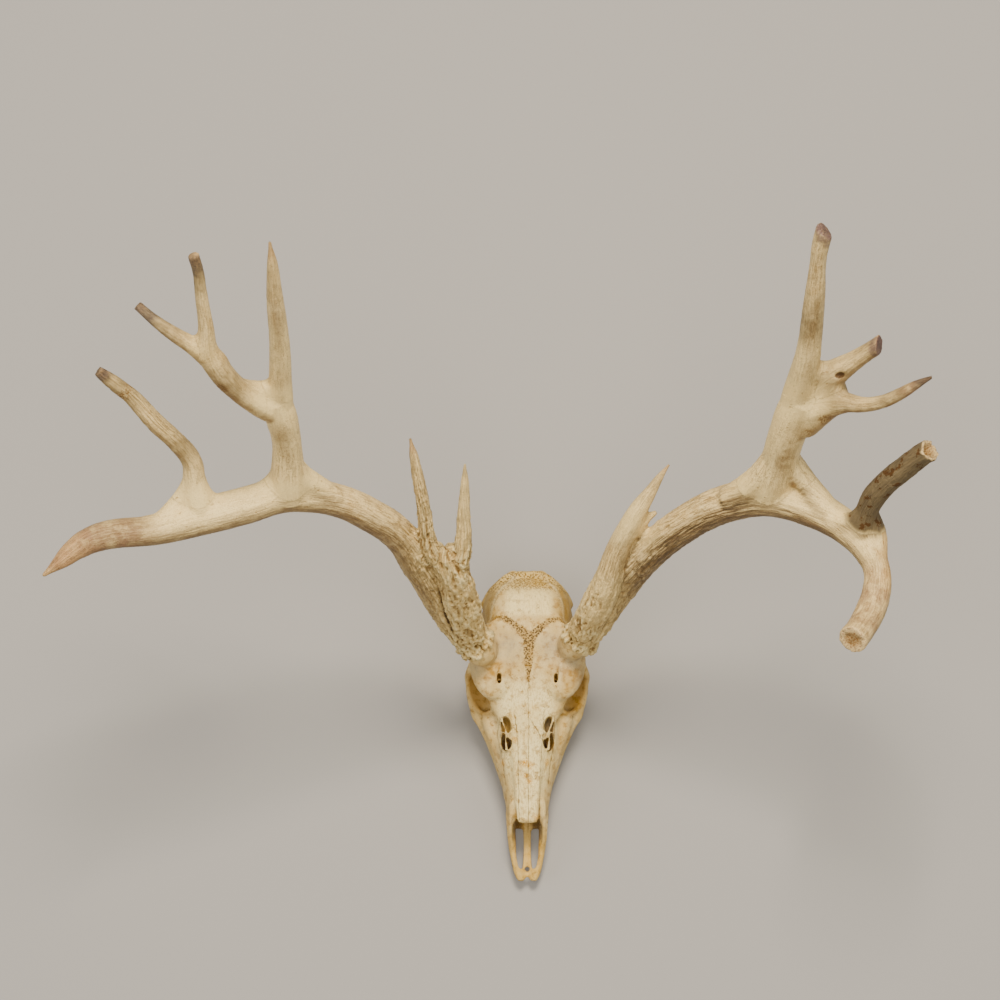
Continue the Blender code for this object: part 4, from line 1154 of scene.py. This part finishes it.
def makeAntler():
    # Hard mule deer antler: dense bone, polished by rubbing where it is smooth, so it has a low sheen there, and
    # dull where it is gnarled; sap and bark keep it brown in the grooves
    m, at = startMaterial("mule_deer_antler_bone", (
        "grooveMask", "gnarl", "pit", "crown", "cleft", "joint", "lowEdge", "scar", "hollow", "worn", "rough", "tip",
        "pale", "ash", "soot", "stain", "rosy", "under", "endFace", "marrow", "weathered", "peeled"), {
        "broad": ("place", (1, 1, 1), 0.035, 4, 0.55),
        "patchy": ("place", (1, 1, 1), 0.11, 4, 0.6),
        "speckle": ("place", (1, 1, 1), 0.75, 3, 0.6),
        "grit": ("place", (1, 1, 1), 1.3, 3, 0.65),
        "streak": ("grain", (1, 1, 0.05), 0.55, 4, 0.6),
        "fibre": ("grain", (1, 1, 0.04), 1.6, 3, 0.6),
        "crackWave": ("grain", (1, 1, 0.09), 0.3, 3, 0.5),
        "fineCrackWave": ("grain", (1, 1, 0.09), 0.62, 3, 0.5)})
    laid = addNode(m, "VectorMath", {0: at["grain"], 1: (1, 1, 0.42)}, operation="MULTIPLY")
    at["pores"] = addNode(m, "TexVoronoi", {"Vector": laid, "Scale": 0.42, "Randomness": 1.0})
    at["poreDots"] = overlap(m, at, ("pores", 0.28, 0.12), ("patchy", 0.5, 0.62))
    at["patchyPale"] = overlap(m, at, "pale", ("patchy", 0.25, 0.65, 0.55, 1.25))
    at["smoothPale"] = overlap(m, at, ("patchyPale", 0.15, 0.75))
    for name, share, least in (("paleStreaks", 0.4, 0.2), ("darkStreaks", 0.5, 0.18), ("darkFibres", 0.95, 0.1)):
        at[name] = addNode(m, "Math", {0: at["rough"], 1: share, 2: least}, operation="MULTIPLY_ADD", use_clamp=True)
    for name, first, second, operation, clamped in (
            ("bare", 1.0, "rough", "SUBTRACT", False), ("clearOfJoint", 1.0, "joint", "SUBTRACT", False),
            ("veryPale", "smoothPale", 0.4, "SUBTRACT", False), ("ridged", "rough", 0.5, "ADD", True),
            ("crackGap", "crackWave", 0.5, "SUBTRACT", False),
            ("fineCrackGap", "fineCrackWave", 0.5, "SUBTRACT", False)):
        at[name] = addNode(m, "Math", {0: at.get(first, first), 1: at.get(second, second)}, operation=operation,
                           use_clamp=clamped)
    for name in ("crackGap", "fineCrackGap"):
        at[name] = addNode(m, "Math", {0: at[name]}, operation="ABSOLUTE")
    cracks = addNode(m, "Math", {
        0: overlap(m, at, ("crackGap", 0.035, 0.006), ("patchy", 0.36, 0.56)),
        1: overlap(m, at, ("fineCrackGap", 0.05, 0.01), ("streak", 0.58, 0.42))}, operation="ADD", use_clamp=True)
    crackShare = addNode(m, "Math", {0: at["rough"], 1: overlap(m, at, ("smoothPale", 0, 1, 0.22, 0.06))},
                         operation="ADD", use_clamp=True)
    at["cracks"], at["crackShare"] = cracks, crackShare
    at["fissure"] = overlap(m, at, "cracks", "crackShare", "clearOfJoint")
    dull = addNode(m, "Math", {0: at["weathered"], 1: at["endFace"]}, operation="ADD", use_clamp=True)
    at["dull"] = addNode(m, "Math", {0: at["gnarl"], 1: dull}, operation="ADD", use_clamp=True)
    height = addNode(m, "Math", {0: at["fibre"], 1: at["ridged"], 2: at["speckle"]}, operation="MULTIPLY_ADD")
    return finishMaterial(
        m, antlerLook, paintLayers(m, at, antlerLook["base"], antlerLook["layers"]),
        overlap(m, at, ("dull", 0, 1, 0.47, 0.78)), height,
        ((at["poreDots"], -0.6), (at["fissure"], -1.4), (overlap(m, at, "gnarl", "grit"), 1.8)))


boneLook = {
    "bump": 0.8, "bumpDepth": 0.6, "specular": 0.3, "saturation": 1.3, "base": "#CDB588",
    "layers": [
        ("#D9C499", ("broad", 0.4, 0.62)),
        ("#B3946A", ("patchy", 0.46, 0.64), 0.65),
        # Painted shade over the tan bone on the sides of the braincase
        ("#7E6A48", "flank", ("patchy", 0.25, 0.6, 0.7, 0.98)),
        ("#A89A80", "lilac", ("patchy", 0.3, 0.6, 0.45, 0.9)),
        ("#957650", "brown", ("patchy", 0.35, 0.6, 0.2, 0.9)),
        ("#F0DFB0", "ivory", ("broad", 0.3, 0.6, 0.7, 0.95)),
        ("#CBB183", "ivory", ("lengthwise", 0.48, 0.66), 0.55),
        ("#C7AB7C", "ivory", ("patchy", 0.5, 0.68, 0.0, 0.5)),
        ("#F2DFAF", "parietal", 0.92),
        ("#CFB27A", "parietal", ("lengthwise", 0.54, 0.7), 0.35),
        ("#C8B184", "nape", 0.8),
        ("#54401F", ("backEdge", 0.1, 0.8), ("cells", 0.58, 0.36), 0.85),
        ("#CDAF7B", "nose", ("patchy", 0.3, 0.6, 0.6, 0.95)),
        ("#A9854F", "nose", ("lengthwise", 0.56, 0.7), 0.5),
        # Painted shade inside the eye sockets and the nose cavity
        ("#B09268", "inside", 0.9),
        ("#8F6F45", "inside", ("patchy", 0.5, 0.64), 0.55),
        ("#7E6444", ("vacuity", 0.25, 0.75), ("speckle", 0.3, 0.6, 0.15, 0.5)),
        # Painted shade: near-black in the hollow in front of the eye, its floor and the nose beside its bones
        ("#2C1A12", "deep"),
        ("#E3D4AE", "ridge", 0.45),
        ("#664A2A", ("groove", 0.15, 0.9)),
        ("#A48A62", ("band", 0.0, 0.8), 0.75),
        ("#43331F", ("band", 0.0, 0.5), ("cells", 0.62, 0.4), ("speckle", 0.26, 0.42)),
        ("#B67C3A", "spots", ("speckle", 0.38, 0.52), 0.85),
        ("#8F7245", "poreDots", ("patchy", 0.5, 0.62), 0.45),
        ("#9A7C50", ("speckle", 0.54, 0.68), 0.3),
        ("#876B48", ("patchy", 0.53, 0.68), ("fine", 0.45, 0.62, 0.1, 0.6)),
        ("#B39A72", "broad", "patchy", ("lengthwise", 0.46, 0.62, 0.0, 0.9)),
        # Painted shade in the recesses
        ("#7A5B34", ("hollow", 0.1, 1.0), ("patchy", 0.3, 0.6, 0.55, 0.95)),
        ("#EADAB0", "worn", 0.4),
        ("#7A5C35", "hairline", 0.6),
        ("#6A4C2A", "seam", ("patchy", 0.32, 0.62, 0.2, 0.8)),
        ("#B89052", "grease", ("broad", 0.35, 0.6), 0.22),
    ],
}


def makeBone():
    # Old cleaned deer skull: dry, slightly greasy bone, dull to satin, ivory where it is dense and tan and
    # finely porous where it is spongy; seams between the bones are brown with ingrained dirt
    m, at = startMaterial("cleaned_deer_bone", (
        "nearSeam", "band", "ridge", "groove", "inside", "vacuity", "ivory", "parietal", "nape", "flank", "nose",
        "lilac", "brown", "spots", "grease", "edging", "deep", "hollow", "worn"), {
        "broad": ("place", (1, 1, 1), 0.045, 4, 0.55),
        "patchy": ("place", (1, 1, 1), 0.16, 4, 0.6),
        "speckle": ("place", (1, 1, 1), 0.9, 3, 0.6),
        "fine": ("place", (1, 1, 1), 2.2, 2, 0.6),
        "lengthwise": ("place", (1, 0.12, 1), 0.8, 3, 0.6)})
    away = []
    for attribute in ("seamsA", "seamsB"):
        signed = addNode(m, "Attribute", attribute_name=attribute).outputs["Vector"]
        size = addNode(m, "VectorMath", {0: signed}, operation="ABSOLUTE")
        away += list(addNode(m, "SeparateXYZ", {0: size}).outputs)
    at["seamAway"] = away[0]
    for other in away[1:]:
        at["seamAway"] = addNode(m, "Math", {0: at["seamAway"], 1: other}, operation="MINIMUM")
    at["seam"] = overlap(m, at, ("seamAway", 0.4, 0.1), ("nearSeam", 1.5, 1.1))
    at["cells"] = addNode(m, "TexVoronoi", {"Vector": at["place"], "Scale": 0.6, "Randomness": 1.0})
    at["poreDots"] = overlap(m, at, ("cells", 0.42, 0.2))
    at["cracks"] = addNode(m, "TexVoronoi", {"Vector": at["place"], "Scale": 0.085, "Randomness": 1.0},
                           feature="DISTANCE_TO_EDGE").outputs["Distance"]
    at["hairline"] = overlap(m, at, ("cracks", 0.02, 0.004), ("patchy", 0.52, 0.66))
    for name, first, second in (("backEdge", "nape", "edging"), ("dull", "nape", "inside"), ("porous", "nape", None)):
        at[name] = addNode(m, "Math", {0: at[first], 1: at[second] if second else 0.35}, operation="ADD",
                           use_clamp=True)
    height = addNode(m, "Math", {0: at["speckle"], 1: 0.7, 2: at["fine"]}, operation="MULTIPLY_ADD")
    return finishMaterial(
        m, boneLook, paintLayers(m, at, boneLook["base"], boneLook["layers"]),
        overlap(m, at, ("dull", 0, 1, 0.52, 0.74)), height,
        ((at["seam"], -1.6), (at["hairline"], -0.9), (overlap(m, at, "poreDots", "porous"), -1.0)))


enamelLook = {
    "bump": 0.35, "bumpDepth": 0.2, "specular": 0.5, "saturation": 1.1, "base": "#DCCFAA",
    "layers": [
        ("#BFA677", ("streak", 0.48, 0.66)),
        ("#7C5B33", "fold", ("patchy", 0.35, 0.6, 0.4, 0.9)),
        ("#8E6D40", "neck", ("patchy", 0.3, 0.6, 0.5, 0.95)),
        ("#EBE2C6", "ridge", 0.9),
        ("#3E2C19", "pit"),
    ],
}


def makeEnamel():
    # Worn deer tooth: glossy ivory enamel over duller brown dentine, with tartar and plant stain in the folds
    m, at = startMaterial("stained_tooth_enamel", ("pit", "ridge", "neck", "fold"), {
        "streak": ("place", (1, 1, 0.2), 0.9, 3, 0.5), "patchy": ("place", (1, 1, 1), 0.35, 3, 0.5)})
    return finishMaterial(m, enamelLook, paintLayers(m, at, enamelLook["base"], enamelLook["layers"]),
                          overlap(m, at, ("neck", 0, 1, 0.3, 0.6)), at["streak"])


antlerMaterial = makeAntler()
finishes = [(rightAntlerObject, antlerMaterial), (leftAntlerObject, antlerMaterial), (skullObject, makeBone())]
enamelMaterial = makeEnamel()
for obj, material in finishes + [(tooth, enamelMaterial) for tooth in teeth]:
    obj.data.materials.clear()
    obj.data.materials.append(material)
    obj.data.shade_smooth()
print("materials laid on")

# Floor, light and camera
stage = {
    "floorColour": "#969188",
    "floorRoughness": 0.9,
    "floorSize": 8.0,
    "roomColour": "#EEF0F4",
    "roomStrength": 0.5,
    "lights": {  # place, point it looks at, size, power, colour
        "window_above": ((0.15, 1.05, 3.1), (0, 0, 0.2), 1.0, 150, "#FFF6EA"),
        "room_behind_camera": ((-0.2, -1.1, 3.3), (0, 0, 0.3), 2.2, 62, "#FFFAF2"),
        "fill_left": ((-2.4, -0.6, 2.0), (0, 0, 0.2), 2.0, 22, "#F8F8FF"),
        "fill_right": ((2.2, -1.2, 2.2), (0, 0, 0.2), 2.0, 18, "#FFFFFF")},
    "cameraElevation": 73.0,  # looks down on the forehead, as the photo does on the wall
    "cameraPlace": (-25.8, -741.8, 3199.4),
    "lens": 122.5,
    "sensorWidth": 36,
}

pickNothing()
bpy.ops.mesh.primitive_plane_add(size=stage["floorSize"], location=(0, 0, 0))
floor = bpy.context.object
floor.name = "floor"
# Seamless matte background paper: evenly dull, so that it shows only the soft shadow
paper, _ = startMaterial("matte_paper_floor")
shader = addNode(paper, "BsdfPrincipled", {
    "Base Color": linear(stage["floorColour"]), "Roughness": stage["floorRoughness"]})
addNode(paper, "OutputMaterial", {0: shader})
floor.data.materials.append(paper)

world = bpy.data.worlds.new("soft_room")
bpy.context.scene.world = world
world.use_nodes = True
world.node_tree.nodes["Background"].inputs[0].default_value = linear(stage["roomColour"])
world.node_tree.nodes["Background"].inputs[1].default_value = stage["roomStrength"]

pickNothing()
for name, (spot, target, size, power, colour) in stage["lights"].items():
    bpy.ops.object.light_add(type="AREA", location=spot)
    light = bpy.context.object
    light.name = name
    light.data.shape = "DISK"
    light.data.size = size
    light.data.energy = power
    light.data.color = linear(colour)[:3]
    light.rotation_euler = (Vector(target) - Vector(spot)).to_track_quat("-Z", "Y").to_euler()

bpy.ops.object.camera_add(location=inFrame(stage["cameraPlace"]))
camera = bpy.context.object
camera.rotation_euler = (math.pi / 2 - math.radians(stage["cameraElevation"]), 0, 0)
camera.data.lens = stage["lens"]
camera.data.sensor_width = stage["sensorWidth"]
bpy.context.scene.camera = camera
print("stage set")
